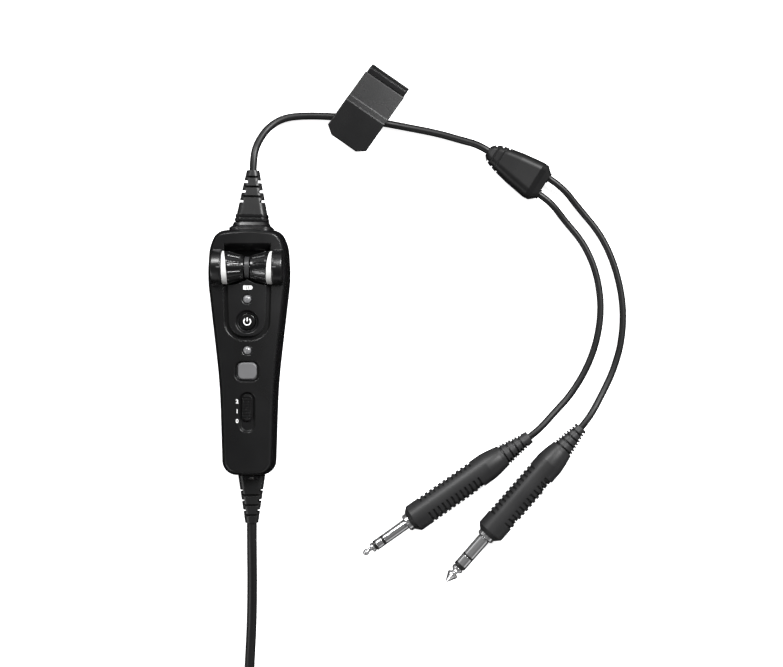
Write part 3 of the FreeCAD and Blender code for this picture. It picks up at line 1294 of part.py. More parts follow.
def clip_base():
    """Lower jaw with a stepped lip, two ears for the pin, and the sleeve round the cable."""
    half = CLIP_WIDTH / 2 - CLIP_BASE_INSET
    plate = prism([(-half + 1.0, -CLIP_BASE_THUMB_LENGTH, 1.0), (half - 1.0, -CLIP_BASE_THUMB_LENGTH, 1.0),
                   (half, CLIP_JAW_LENGTH, 0.6), (-half, CLIP_JAW_LENGTH, 0.6)][::-1],
                  CLIP_JAW_Z, CLIP_JAW_Z + CLIP_PLATE)
    step_y = CLIP_JAW_LENGTH - CLIP_LIP_STEP
    lip = fuse([box(-half, half, clip_tip_y() + CLIP_LIP_GAP, step_y, CLIP_JAW_Z, CLIP_TIP_Z),
                box(-half, half, step_y, CLIP_JAW_LENGTH, CLIP_JAW_Z, CLIP_LIP_STEP_Z)])
    run = cable_run_in_clip()
    middle = Vec(0, -CLIP_CABLE_SETBACK, CLIP_CABLE_Z)
    start = middle - run * (CLIP_COLLAR_LENGTH / 2)
    end = middle + run * (CLIP_COLLAR_LENGTH / 2)
    sleeve = rod(CLIP_CABLE_Z, start, end)
    across = Vec(-run.y, run.x, 0)
    saddle_corners = []
    for reach, side in ((-1, -1), (1, -1), (1, 1), (-1, 1)):
        spot = middle + run * (reach * CLIP_COLLAR_LENGTH / 2) + across * (side * 2.6)
        saddle_corners.append(Vec(spot.x, spot.y, CLIP_CABLE_Z))
    saddle = Part.Face(Part.makePolygon(saddle_corners + saddle_corners[:1])).extrude(
        Vec(0, 0, CLIP_JAW_Z - CLIP_CABLE_Z + 0.4))
    ears = []
    for side in (-1, 1):
        low, high = sorted((side * CLIP_EAR_X, side * (CLIP_EAR_X + 1.6)))
        ear = fuse([box(low, high, -CLIP_EAR_RADIUS, CLIP_EAR_RADIUS, CLIP_JAW_Z + 0.4, CLIP_PIN_Z),
                    rod(CLIP_EAR_RADIUS, Vec(low, 0, CLIP_PIN_Z), Vec(high, 0, CLIP_PIN_Z))])
        ears.append(ear)
    bore = rod(PLUG_CABLE_DIAMETER / 2 + CABLE_FIT, start - run, end + run)
    pin_bore = rod(CLIP_PIN_RADIUS + PRESS_FIT, Vec(-half, 0, CLIP_PIN_Z), Vec(half, 0, CLIP_PIN_Z))
    teeth = []
    for step in range(3):
        y = clip_tip_y() - 1.4 - 1.8 * step
        teeth.append(box(-half - 1, half + 1, y, y + 0.7, CLIP_JAW_Z + CLIP_PLATE - 0.5, 20))
    return place_clip(cut(fuse([plate, lip, sleeve, saddle] + ears), [bore, pin_bore] + teeth))


def clip_tip_y():
    return CLIP_JAW_LENGTH - CLIP_LIP


def clip_lever():
    """Upper plate: thumb pad, steep crease, pivot lugs inside the ears, and the upper jaw."""
    half = CLIP_WIDTH / 2
    top = [(-CLIP_THUMB_LENGTH, CLIP_THUMB_Z), (CLIP_CREASE[0], CLIP_CREASE_Z[0]),
           (CLIP_CREASE[1], CLIP_CREASE_Z[1]), (clip_tip_y(), CLIP_TIP_Z)]
    under = [(y, z - CLIP_PLATE) for y, z in reversed(top)]
    profile = [Vec(-half, y, z) for y, z in top + under]
    plate = Part.Face(Part.makePolygon(profile + profile[:1])).extrude(Vec(CLIP_WIDTH, 0, 0))
    across, along = CLIP_THUMB_CHAMFER
    for side in (-1, 1):
        corner = [Vec(side * (half - across), -CLIP_THUMB_LENGTH, 0),
                  Vec(side * (half + across), -CLIP_THUMB_LENGTH - along, 0),
                  Vec(side * (half + across), -CLIP_THUMB_LENGTH + 2 * along, 0)]
        plate = plate.cut(Part.Face(Part.makePolygon(corner + corner[:1])).extrude(Vec(0, 0, 30)))
    nose = box(-half, half, clip_tip_y() - 2.4, clip_tip_y(), CLIP_JAW_Z + CLIP_PLATE + 0.35,
               CLIP_TIP_Z - CLIP_PLATE / 2)
    lugs = []
    for side in (-1, 1):
        inner = CLIP_EAR_X - 2.0
        low, high = sorted((side * inner, side * (CLIP_EAR_X - 0.3)))
        lug = fuse([box(low, high, -CLIP_LUG_RADIUS, CLIP_LUG_RADIUS, CLIP_PIN_Z, CLIP_LUG_TOP_Z),
                    rod(CLIP_LUG_RADIUS, Vec(low, 0, CLIP_PIN_Z), Vec(high, 0, CLIP_PIN_Z))])
        lugs.append(lug)
    inner = CLIP_EAR_X - 2.0
    ear_room = [rod(CLIP_SPRING_RADIUS + CLIP_SPRING_WIRE + 0.3, Vec(-inner, 0, CLIP_PIN_Z),
                    Vec(inner, 0, CLIP_PIN_Z))]
    for side in (-1, 1):
        low, high = sorted((side * (CLIP_EAR_X - 0.3), side * (CLIP_EAR_X + 1.9)))
        ear_room.append(rod(CLIP_EAR_RADIUS + 0.35, Vec(low, 0, CLIP_PIN_Z), Vec(high, 0, CLIP_PIN_Z)))
    pin_bore = rod(CLIP_PIN_RADIUS + RUNNING_FIT, Vec(-half, 0, CLIP_PIN_Z), Vec(half, 0, CLIP_PIN_Z))
    return place_clip(cut(fuse([plate, nose] + lugs), ear_room + [pin_bore]))


def clip_pin():
    reach = CLIP_EAR_X + 1.6
    return place_clip(rod(CLIP_PIN_RADIUS, Vec(-reach, 0, CLIP_PIN_Z), Vec(reach, 0, CLIP_PIN_Z)))


def clip_spring():
    """Torsion spring round the pin, between the lever's lugs."""
    start = Vec(0, -CLIP_SPRING_PITCH * CLIP_SPRING_TURNS / 2, 0)
    edges = helix_edges(CLIP_SPRING_RADIUS, CLIP_SPRING_PITCH, CLIP_SPRING_TURNS, start, 1.0)
    coil = swept_wire(edges, CLIP_SPRING_WIRE)
    coil.rotate(Vec(0, 0, 0), UP, 90)
    coil.translate(Vec(0, 0, CLIP_PIN_Z))
    return place_clip(coil)


# Plugs: built up +Z with the tip at z = 0


def turned(profile):
    """Solid of revolution about Z from (radius, z) points."""
    points = [Vec(radius, 0, z) for radius, z in profile]
    return Part.Face(Part.makePolygon(points + points[:1])).revolve(Vec(0, 0, 0), UP, 360)


def plug_handle(plug):
    """Overmoulded grip with side ribs and a slotted tail, from the end of the shank."""
    shank = plug["shank"]
    tail_start = shank + HANDLE_SHOULDER
    end = shank + plug["handle"]
    barrel_end = shank + HANDLE_BARREL
    mid_z = (barrel_end + tail_start) / 2
    outline = [Part.LineSegment(Vec(FERRULE_RADIUS, 0, shank), Vec(HANDLE_RADIUS - HANDLE_NOSE_CHAMFER, 0, shank)),
               Part.LineSegment(Vec(HANDLE_RADIUS - HANDLE_NOSE_CHAMFER, 0, shank),
                                Vec(HANDLE_RADIUS, 0, shank + HANDLE_NOSE_CHAMFER)),
               Part.LineSegment(Vec(HANDLE_RADIUS, 0, shank + HANDLE_NOSE_CHAMFER),
                                Vec(HANDLE_RADIUS, 0, barrel_end)),
               Part.Arc(Vec(HANDLE_RADIUS, 0, barrel_end), Vec(HANDLE_RADIUS - HANDLE_SHOULDER_EASE, 0, mid_z),
                        Vec(HANDLE_SHOULDER_RADIUS, 0, tail_start)),
               Part.LineSegment(Vec(HANDLE_SHOULDER_RADIUS, 0, tail_start), Vec(HANDLE_TAIL_RADIUS, 0, end)),
               Part.LineSegment(Vec(HANDLE_TAIL_RADIUS, 0, end), Vec(0, 0, end)),
               Part.LineSegment(Vec(0, 0, end), Vec(0, 0, shank + FERRULE_DEPTH)),
               Part.LineSegment(Vec(0, 0, shank + FERRULE_DEPTH), Vec(FERRULE_RADIUS, 0, shank + FERRULE_DEPTH)),
               Part.LineSegment(Vec(FERRULE_RADIUS, 0, shank + FERRULE_DEPTH), Vec(FERRULE_RADIUS, 0, shank))]
    profile = Part.Face(Part.Wire([piece.toShape() for piece in outline]))
    body = profile.revolve(Vec(0, 0, 0), UP, 360)
    tools = [grip_groove(shank + GRIP_START + GRIP_PITCH * step) for step in range(GRIP_COUNT)]
    slope = (HANDLE_SHOULDER_RADIUS - HANDLE_TAIL_RADIUS) / (end - tail_start)
    for step in range(TAIL_GROOVE_COUNT):
        z = tail_start + TAIL_GROOVE_START + TAIL_GROOVE_PITCH * step
        radius = HANDLE_SHOULDER_RADIUS - slope * (z - tail_start)
        tools.append(ring(radius + 1, radius - TAIL_RING_DEPTH, Vec(0, 0, z), Vec(0, 0, z + TAIL_GROOVE_WIDTH)))
        side_z = z + TAIL_GROOVE_PITCH / 2
        side_radius = HANDLE_SHOULDER_RADIUS - slope * (side_z - tail_start)
        reach = side_radius - TAIL_SLOT_DEPTH
        for side in (-1, 1):
            low, high = sorted((side * reach, side * (side_radius + 2)))
            tools.append(box(low, high, -10, 10, side_z, side_z + TAIL_SLOT_WIDTH))
    for tool in tools:
        tool.rotate(Vec(0, 0, 0), UP, -plug["grip_turn"])
    return cut(body, tools)


def grip_groove(z):
    """One pair of side grooves, with a smooth strip between them above and below."""
    groove = ring(HANDLE_RADIUS + 1, HANDLE_RADIUS - GRIP_DEPTH, Vec(0, 0, z), Vec(0, 0, z + GRIP_WIDTH))
    half_strip = HANDLE_RADIUS * math.cos(math.radians(GRIP_HALF_ANGLE))
    strip = box(-half_strip, half_strip, -20, 20, z - 1, z + GRIP_WIDTH + 1)
    return groove.cut(strip)


def plug_ferrule(shank, bore):
    """Bright metal collar at the root of the shank, set into the grip."""
    body = turned([(0.0, shank - FERRULE_LENGTH), (FERRULE_RADIUS - 0.7, shank - FERRULE_LENGTH),
                   (FERRULE_RADIUS - PRESS_FIT, shank - FERRULE_LENGTH + 0.7),
                   (FERRULE_RADIUS - PRESS_FIT, shank + FERRULE_DEPTH), (0.0, shank + FERRULE_DEPTH)])
    return body.cut(rod(bore + PRESS_FIT, Vec(0, 0, 0), Vec(0, 0, shank + FERRULE_DEPTH + 1)))


def phone_tip_profile(plug):
    """Pointed head, waist and second bulge of the quarter-inch tip."""
    radius = plug["radius"]
    return [(0.0, 0.0), (0.5, 0.15), (radius * 0.9, 4.6), (radius * 0.86, 5.2), (radius * 0.46, 6.0),
            (radius * 0.46, 6.6), (radius * 0.92, 7.9), (radius * 0.92, 9.0), (radius * 0.7, plug["tip_end"]),
            (plug["rod"], plug["tip_end"]), (plug["rod"], plug["shank"] + 3.0), (0.0, plug["shank"] + 3.0)]


def mic_tip_profile(plug):
    """Small ball, thin neck and flange of the 0.206-inch tip."""
    radius = plug["radius"]
    return [(0.0, 0.0), (0.7, 0.2), (1.35, 0.9), (1.6, 1.7), (1.35, 2.5), (0.95, 3.0), (0.95, 4.7),
            (radius * 0.92, 5.3), (radius * 0.92, 6.4), (radius * 0.66, plug["tip_end"]),
            (plug["rod"], plug["tip_end"]), (plug["rod"], plug["shank"] + 3.0), (0.0, plug["shank"] + 3.0)]


def plug_ring(plug):
    """Middle contact with the tube that carries it back into the grip."""
    back = plug["shank"] + 2.0
    tube_inner = plug["rod"] + SHANK_GAP
    head = ring(plug["radius"], tube_inner, Vec(0, 0, plug["first_insulator"]), Vec(0, 0, plug["ring_end"]))
    tube = ring(plug["tube"], tube_inner, Vec(0, 0, plug["ring_end"]), Vec(0, 0, back))
    return fuse([head, tube])


def plug_sleeve(plug):
    """Outer contact: full size up to the ferrule, and a thinner root inside it."""
    shoulder = plug["shank"] - FERRULE_LENGTH - SLEEVE_SHOULDER_GAP
    inner = plug["tube"] + SHANK_GAP
    barrel = ring(plug["radius"], inner, Vec(0, 0, plug["second_insulator"]), Vec(0, 0, shoulder))
    root = ring(plug["root"], inner, Vec(0, 0, shoulder), Vec(0, 0, plug["shank"] + 1.0))
    return fuse([barrel, root])


def plug_insulators(plug):
    radius = plug["radius"] - INSULATOR_INSET
    first = ring(radius, plug["rod"] + SHANK_GAP, Vec(0, 0, plug["tip_end"]),
                 Vec(0, 0, plug["first_insulator"]))
    second = ring(radius, plug["tube"] + SHANK_GAP, Vec(0, 0, plug["ring_end"]),
                  Vec(0, 0, plug["second_insulator"]))
    return Part.makeCompound([first, second])


def plug_point(plug, distance):
    """Point on the axis of a plug that lies with its grip on the table."""
    return Vec(plug["tip"][0], plug["tip"][1], HANDLE_RADIUS) + heading(plug["heading"]) * distance


def plug_pieces(name, plug, tip_profile):
    bare = {"handle": plug_handle(plug), "ferrule": plug_ferrule(plug["shank"], plug["root"]),
            "sleeve": plug_sleeve(plug), "ring": plug_ring(plug), "tip": turned(tip_profile(plug)),
            "insulators": plug_insulators(plug)}
    return {name + "_plug_" + part: stand_along(shape, plug_point(plug, 0.0), heading(plug["heading"]))
            for part, shape in bare.items()}


def plug_tail(plug):
    """Centre of the tail's end face, where the lead enters."""
    return plug_point(plug, plug["shank"] + plug["handle"])


# Cables: straight runs joined by tangent arcs


def tube(name, points, diameter):
    """Round cable along a route; prints its tightest radius and checks its volume."""
    edges = []
    radii = []
    here = points[0]
    for before, corner, after in zip(points, points[1:], points[2:]):
        back = before - corner
        ahead = after - corner
        turn = math.pi - back.getAngle(ahead)
        reach = ARC_SHARE * min(back.Length, ahead.Length)
        radius = reach / math.tan(turn / 2)
        radii.append(radius)
        start = corner + Vec(back).normalize() * reach
        end = corner + Vec(ahead).normalize() * reach
        inward = (Vec(back).normalize() + Vec(ahead).normalize()).normalize()
        middle = corner + inward * (radius / math.cos(turn / 2) - radius)
        edges.append(Part.LineSegment(here, start).toShape())
        edges.append(Part.Arc(start, middle, end).toShape())
        here = end
    edges.append(Part.LineSegment(here, points[-1]).toShape())
    length = sum(edge.Length for edge in edges)
    solid = swept_wire(edges, diameter / 2)
    section = math.pi * diameter ** 2 / 4
    print(name, "length", round(length, 1), "radii", [round(radius, 1) for radius in radii],
          "tightest in diameters", round(min(radii) / diameter, 1), "volume ratio",
          round(solid.Volume / (section * length), 4), "valid", solid.isValid())
    return solid


def plug_cable_route():
    start = upper_relief_tip()
    nose = branch_point(0)
    return [start,
            start + heading(90 - UPPER_RELIEF_LEAN) * 8.0,
            Vec(4.1, 104.2, 8.2),
            Vec(8.5, 111.1, 4.6),
            Vec(16.1, 116.2, 2.5),
            Vec(28.7, 117.3, 1.95),
            clip_cable_point(-8.3),
            clip_cable_point(8.3),
            Vec(77.4, 111.4, 1.95),
            Vec(93.0, 108.4, 2.0),
            Vec(104.6, 104.9, 3.3),
            nose - heading(BRANCH_HEADING) * 5.5,
            nose]


def mic_lead_route():
    start = lead_exit(-1)
    tail = plug_tail(MIC)
    return [start,
            start + heading(BRANCH_HEADING) * 6.5,
            Vec(157.1, 64.4, 2.6),
            Vec(166.7, 53.4, 1.75),
            Vec(173.1, 39.1, 1.75),
            Vec(175.8, 22.1, 1.75),
            Vec(173.9, 5.2, 1.75),
            Vec(168.6, -9.6, 1.75),
            Vec(160.4, -22.9, 2.4),
            Vec(152.0, -31.6, 4.6),
            tail + heading(MIC["heading"]) * 5.5,
            tail]


def phone_lead_route():
    start = lead_exit(1)
    tail = plug_tail(PHONE)
    return [start,
            start + heading(BRANCH_HEADING) * 7.5,
            Vec(164.4, 70.4, 2.6),
            Vec(175.1, 58.0, 1.75),
            Vec(182.3, 42.8, 1.75),
            Vec(186.8, 23.4, 1.75),
            Vec(186.2, 4.6, 1.75),
            Vec(181.8, -10.9, 1.75),
            Vec(175.9, -22.6, 3.4),
            tail + heading(PHONE["heading"]) * 6.5,
            tail]


def headset_cable_route():
    start = Vec(LOWER_EXIT_X, LOWER_MOUTH_Y - LOWER_RELIEF_LENGTH, EXIT_Z)
    end, run = coil_places()[0]
    return [start,
            start + Vec(0, -12.0, 0),
            Vec(0.6, -117.7, 6.4),
            Vec(0.0, -138.4, 2.9),
            Vec(-1.2, -160.0, 2.6),
            end - run * 18.0,
            end]


# Coil of the headset cable: in along the lower layer, up, and out along the upper layer


def coil_radius(turn):
    """Radius of the cable's centre after a number of turns from the start."""
    return COIL_OUTER_RADIUS - COIL_PITCH * (COIL_REVERSAL - abs(turn - COIL_REVERSAL))


def coil_height(turn):
    share = min(max(2 * (turn - COIL_REVERSAL) + 0.5, 0.0), 1.0)
    return COIL_BASE_Z + COIL_LAYER_RISE * (3 * share ** 2 - 2 * share ** 3)


def coil_places():
    """Points and directions of the coil at every quarter turn."""
    quarters = int(round(COIL_TURNS * 4))
    step = 0.001
    places = []
    for index in range(quarters + 1):
        turn = index / 4
        here = coil_point(turn)
        run = (coil_point(turn + step) - coil_point(turn - step)).normalize()
        if index in (0, quarters):
            run = Vec(run.x, run.y, 0).normalize()
        places.append((here, run))
    return places


def coil_point(turn):
    angle = math.pi + 2 * math.pi * turn
    radius = coil_radius(turn)
    return Vec(COIL_CENTRE[0] + radius * math.cos(angle), COIL_CENTRE[1] + radius * math.sin(angle),
               coil_height(turn))


def coil_edges():
    edges = []
    places = coil_places()
    for (start, start_run), (end, end_run) in zip(places, places[1:]):
        edges += biarc(start, start_run, end, end_run)
    return edges


def report_coil_gap(edges, diameter):
    """Print the least gap between turns, measured on points along the wire."""
    spots = []
    travelled = 0.0
    for edge in edges:
        for spot in edge.discretize(8)[:-1]:
            spots.append((travelled, spot))
            travelled += edge.Length / 7
    least = 1e9
    for index, (here_at, here) in enumerate(spots):
        for there_at, there in spots[index + 1:]:
            if there_at - here_at > 4 * diameter:
                least = min(least, here.distanceToPoint(there))
    print("coil length", round(travelled, 1), "least gap", round(least - diameter, 2))


def coil_tail_route():
    """From the end of the coil's upper layer down to the connector beside it."""
    start, run = coil_places()[-1]
    return [start,
            start + run * 8.0,
            start + run * 17.0 + Vec(0, 0, -2.6),
            connector_start() - connector_run() * 8.0,
            connector_start()]


def connector_start():
    start, run = coil_places()[-1]
    return Vec(start.x + CONNECTOR_OFFSET[0], start.y + CONNECTOR_OFFSET[1], CONNECTOR_SIZE[1] / 2)


def connector_run():
    return Vec(1, 0, 0)


def headset_cable_coil():
    edges = coil_edges()
    report_coil_gap(edges, HEADSET_CABLE_DIAMETER)
    return swept_wire(edges, HEADSET_CABLE_DIAMETER / 2)


def coil_ties():
    """Two flat straps round the coil; it rests on their undersides."""
    radius = HEADSET_CABLE_DIAMETER / 2
    inner = coil_radius(COIL_REVERSAL) - radius - TIE_CLEARANCE
    outer = COIL_OUTER_RADIUS + radius + 2 * TIE_CLEARANCE
    low = TIE_THICKNESS
    high = COIL_BASE_Z + COIL_LAYER_RISE + radius + TIE_CLEARANCE
    half = TIE_WIDTH / 2
    thick = TIE_THICKNESS
    straps = []
    for angle in TIE_ANGLES:
        band = box(inner - thick, outer + thick, -half, half, 0.0, high + thick)
        band = band.cut(box(inner, outer, -half - 1, half + 1, low, high))
        band.rotate(Vec(0, 0, 0), UP, angle)
        band.translate(Vec(COIL_CENTRE[0], COIL_CENTRE[1], 0))
        straps.append(band)
    return Part.makeCompound(straps)


# Connector


def headset_connector():
    width, height = CONNECTOR_SIZE
    relief = loft([(0.0, rectangle_corners(6.6, 6.6, 3.0)),
                   (CONNECTOR_RELIEF, rectangle_corners(width * 0.8, height * 0.92, 3.0))])
    body = prism(rectangle_corners(width, height, 2.0), CONNECTOR_RELIEF, CONNECTOR_RELIEF + CONNECTOR_LENGTH)
    grooves = []
    for step in range(3):
        grooves.append(box(-20, 20, height / 2 - 0.6, 20, 13.0 + 3 * step, 14.2 + 3 * step))
    return stand_along(cut(fuse([relief, body]), grooves), connector_start(), connector_run())


def connector_shell():
    width, height = CONNECTOR_SHELL
    wall = 2 * CONNECTOR_SHELL_WALL
    start = CONNECTOR_RELIEF + CONNECTOR_LENGTH
    outer = prism(rectangle_corners(width, height, 1.6), start, start + CONNECTOR_SHELL_LENGTH)
    inner = prism(rectangle_corners(width - wall, height - wall, 1.2), start + 1.0, start + 20)
    shape = outer.cut(inner)
    for x, y in connector_pin_spots():
        shape = shape.cut(rod(CONNECTOR_PIN_RADIUS + 0.1, Vec(x, y, start - 1), Vec(x, y, start + 3)))
    return stand_along(shape, connector_start(), connector_run())


def connector_pin_spots():
    spots = []
    for row in (-0.5, 0.5):
        for column in (-1.5, -0.5, 0.5, 1.5):
            spots.append((column * CONNECTOR_PIN_PITCH, row * CONNECTOR_PIN_PITCH))
    return spots


def connector_pins():
    start = CONNECTOR_RELIEF + CONNECTOR_LENGTH
    pins = []
    for x, y in connector_pin_spots():
        pins.append(rod(CONNECTOR_PIN_RADIUS, Vec(x, y, start), Vec(x, y, start + CONNECTOR_SHELL_LENGTH - 1.2)))
    return stand_along(Part.makeCompound(pins), connector_start(), connector_run())


# Write every node


def export(name, shape):
    solids = shape.Solids
    whole = solids[0] if len(solids) == 1 else Part.makeCompound(solids)
    whole.exportStep("parts/" + name + ".step")
    box_now = whole.BoundBox
    print(name, "solids", len(solids), "valid", whole.isValid(), "volume", round(whole.Volume, 1),
          "x", round(box_now.XMin, 1), round(box_now.XMax, 1), "y", round(box_now.YMin, 1),
          round(box_now.YMax, 1), "z", round(box_now.ZMin, 2), round(box_now.ZMax, 2))


def module_nodes():
    wheel = volume_wheel()
    band = level_band()
    return {
        "front_cover": front_cover(),
        "centre_panel": centre_panel(),
        "rear_shell": rear_shell(),
        "battery_door": battery_door(),
        "door_hinge_pin": door_hinge_pin(),
        "volume_wheel_right": wheel,
        "volume_wheel_left": mirror_x(wheel),
        "level_band_right": band,
        "level_band_left": mirror_x(band),
        "wheel_axle": wheel_axle(),
        "wheel_bridge": wheel_bridge(),
        "volume_controls": both_sides(volume_control()),
        "power_button": power_button(),
        "function_button": function_button(),
        "priority_slider": priority_slider(),
        "slide_switch": slide_switch(),
        "power_switch_plunger": switch_plunger(POWER_Y),
        "function_switch_plunger": switch_plunger(FUNCTION_Y),
        "button_switches": button_switches(),
        "battery_light_lens": light_lens(LIGHT_UPPER_Y),
        "link_light_lens": light_lens(LIGHT_LOWER_Y),
        "light_emitters": light_emitters(),
        "main_board": main_board(),
        "battery_cells": battery_cells(),
        "battery_contacts": battery_contacts(),
        "battery_springs": battery_springs(),
        "case_screws": case_screws(),
        "aux_jack": aux_jack(),
        "upper_strain_relief": upper_relief(),
        "upper_relief_collar": upper_collar(),
        "lower_strain_relief": lower_relief(),
        "lower_crimp_ring": crimp_ring(),
    }


def cable_nodes():
    coil = headset_cable_coil()
    tail = tube("coil tail", coil_tail_route(), HEADSET_CABLE_DIAMETER)
    return {
        "plug_cable": tube("plug cable", plug_cable_route(), PLUG_CABLE_DIAMETER),
        "mic_lead": tube("mic lead", mic_lead_route(), LEAD_DIAMETER),
        "phone_lead": tube("phone lead", phone_lead_route(), LEAD_DIAMETER),
        "headset_cable": tube("headset cable", headset_cable_route(), HEADSET_CABLE_DIAMETER),
        "headset_cable_coil": coil,
        "headset_cable_tail": tail,
        "coil_ties": coil_ties(),
        "headset_connector": headset_connector(),
        "connector_shell": connector_shell(),
        "connector_pins": connector_pins(),
        "y_junction": y_junction(),
        "lead_collars": lead_collars(),
        "clip_base": clip_base(),
        "clip_lever": clip_lever(),
        "clip_pin": clip_pin(),
        "clip_spring": clip_spring(),
    }


nodes = {}
nodes.update(module_nodes())
nodes.update(cable_nodes())
nodes.update(plug_pieces("phone", PHONE, phone_tip_profile))
nodes.update(plug_pieces("mic", MIC, mic_tip_profile))
for node_name, node_shape in nodes.items():
    export(node_name, node_shape)
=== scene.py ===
"""Looks of an aviation headset's in-line control module and plug cable.

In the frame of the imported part: +Z up, +Y along the module towards the plug cable. Named sizes and places
are in millimetres, except where they are multiplied by MM or said to be in metres, as Blender needs them.
"""
import json
import math

import bpy
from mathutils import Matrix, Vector


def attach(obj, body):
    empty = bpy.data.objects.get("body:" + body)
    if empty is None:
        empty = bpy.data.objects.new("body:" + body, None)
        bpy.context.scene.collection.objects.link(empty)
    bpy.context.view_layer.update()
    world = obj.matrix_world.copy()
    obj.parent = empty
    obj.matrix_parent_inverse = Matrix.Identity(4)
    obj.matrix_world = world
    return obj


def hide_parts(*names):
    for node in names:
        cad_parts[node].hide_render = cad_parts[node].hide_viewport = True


MM = 0.001

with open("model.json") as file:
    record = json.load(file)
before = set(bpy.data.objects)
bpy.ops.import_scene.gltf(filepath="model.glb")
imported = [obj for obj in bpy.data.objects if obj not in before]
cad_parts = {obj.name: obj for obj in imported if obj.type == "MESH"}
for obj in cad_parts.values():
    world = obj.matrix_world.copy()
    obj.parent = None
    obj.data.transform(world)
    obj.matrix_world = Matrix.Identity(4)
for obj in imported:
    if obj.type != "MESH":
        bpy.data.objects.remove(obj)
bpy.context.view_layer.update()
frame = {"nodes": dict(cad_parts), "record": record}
NODES = frame["nodes"]

# Camera, straight above the table
CAMERA_PLACE = (70.15, 7.7, 750.0)
CAMERA_LENS = 68.41
CAMERA_SENSOR = 36.0
CAMERA_CLIP = (10.0, 20000.0)

# Cables
PLUG_CABLE_DIAMETER = 3.7 * MM
LEAD_DIAMETER = 3.4 * MM
HEADSET_CABLE_DIAMETER = 5.0 * MM
CABLE_ROUNDNESS = 8
CABLE_SMOOTHNESS = 10

# Points where cables meet the pieces on them, and the directions there
RELIEF_LEAN = 1.1
RELIEF_TIP = (1.520, 88.444, 12.0)
LOWER_RELIEF_TIP = (0.9, -86.0, 12.0)
BRANCH_HEADING = -32.5
BRANCH_NOSE = (118.5, 99.1, 5.6)
BRANCH_LENGTH = 32.8
COLLAR_REACH = 0.6
LEAD_SPACING = 9.4
PHONE_TIP = (97.5, -116.1, 7.15)
PHONE_HEADING = 48.8
PHONE_LENGTH = 102.1
MIC_TIP = (56.1, -102.4, 7.15)
MIC_HEADING = 35.2
MIC_LENGTH = 101.4

# Straight runs of cable beside the pieces: where it starts and where it ends
PLUG_CABLE_RUNS = (8.0, 5.5)
MIC_LEAD_RUNS = (6.5, 5.5)
PHONE_LEAD_RUNS = (7.5, 6.5)
HEADSET_CABLE_RUNS = (12.0, 8.0)

# Coil of the headset cable
COIL_CENTRE = (32.9, -200.5)
COIL_OUTER_RADIUS = 34.4
COIL_PITCH = 5.55
COIL_LAYER_RISE = 5.5
COIL_BASE_Z = 3.5
COIL_REVERSAL = 2.5
COIL_CROSSING = 0.5
COIL_TURNS = 5.25
COIL_POINTS_PER_TURN = 16
COIL_SMALL_TURN = 0.001
COIL_ENTRY_RUN = 18.0
COIL_EXIT_RUNS = (8.0, 17.0)
COIL_EXIT_DROP = 2.6
CONNECTOR_OFFSET = (35.0, -1.0)
CONNECTOR_Z = 4.5

# Printed marks on the module
FACE_Z = 27.0
INK_THICKNESS = 0.03
POWER_PLACE = (0.0, 13.5)
POWER_DOME_RADIUS = 15.07
POWER_SIGN_RADIUS = 1.66
POWER_SIGN_STROKE = 0.52
POWER_SIGN_GAP = 38.0
POWER_SIGN_STEPS = 48
POWER_BAR_ENDS = (0.15, 2.0)
BATTERY_PLACE = (0.1, 30.0)
BATTERY_SIZE = (4.0, 1.9)
BATTERY_STROKE = 0.36
BATTERY_BARS = 3
BATTERY_BAR_INSET = 0.14
BATTERY_BAR_START = 0.18
BATTERY_BAR_SHARE = 0.64
BATTERY_POLE = 0.5
NUMBER_RIGHT_X = -4.2
NUMBER_SIZE = 2.7
NUMBER_LIFT = 0.94
NUMBER_BOLDNESS = 0.05
NUMBER_PLACES = (("2", -25.3), ("1", -30.1), ("0", -34.8))
TICK_SIZE = (1.7, 0.5)
TICK_X = 13.5
WHEEL_AXIS = (39.8, 25.4)
HOOD_RADIUS = 8.75

# Materials: the grain and drift that all of them have, and the arch of the module's face
GRAIN_DETAIL = 3.0
DRIFT_SCALE = 60.0
DRIFT_DETAIL = 4.0
DRIFT_RANGE = (0.3, 0.7)
ROUGHNESS_DRIFT = 0.04
ROUGHNESS_LEAST = 0.02
EDGE_SAMPLES = 6
CROWN_FALL = 1000.0
HOUSING_CROWN = 5.0 * MM

# Floor and lights, in metres
FLOOR_CENTRE = (0.07, -0.03)
FLOOR_SIZE = 0.7
FLOOR_SHADE = 0.85
FLOOR_GLOW = 0.85
FLOOR_ROUGHNESS = 0.9
FLOOR_SPECULAR = 0.1
LIGHT_CENTRE = (0.05, 0.0, 0.01)

# Brightness of the room by the height of a direction, from level (0) to straight up (1)
ROOM_LEVELS = ((0.0, 0.0), (0.06, 0.1), (0.16, 0.75), (0.34, 0.55), (0.5, 0.10), (0.85, 0.04), (1.0, 0.07))


def heading(degrees):
    """Level direction at an angle from +X towards +Y."""
    angle = math.radians(degrees)
    return Vector((math.cos(angle), math.sin(angle), 0.0))


def make_camera():
    """Camera that looks straight down, as it does when it isn't turned."""
    data = bpy.data.cameras.new("camera")
    data.lens = CAMERA_LENS
    data.sensor_width = CAMERA_SENSOR
    data.clip_start = CAMERA_CLIP[0] * MM
    data.clip_end = CAMERA_CLIP[1] * MM
    camera = bpy.data.objects.new("camera", data)
    bpy.context.scene.collection.objects.link(camera)
    camera.location = Vector(CAMERA_PLACE) * MM
    bpy.context.scene.camera = camera


# Cables


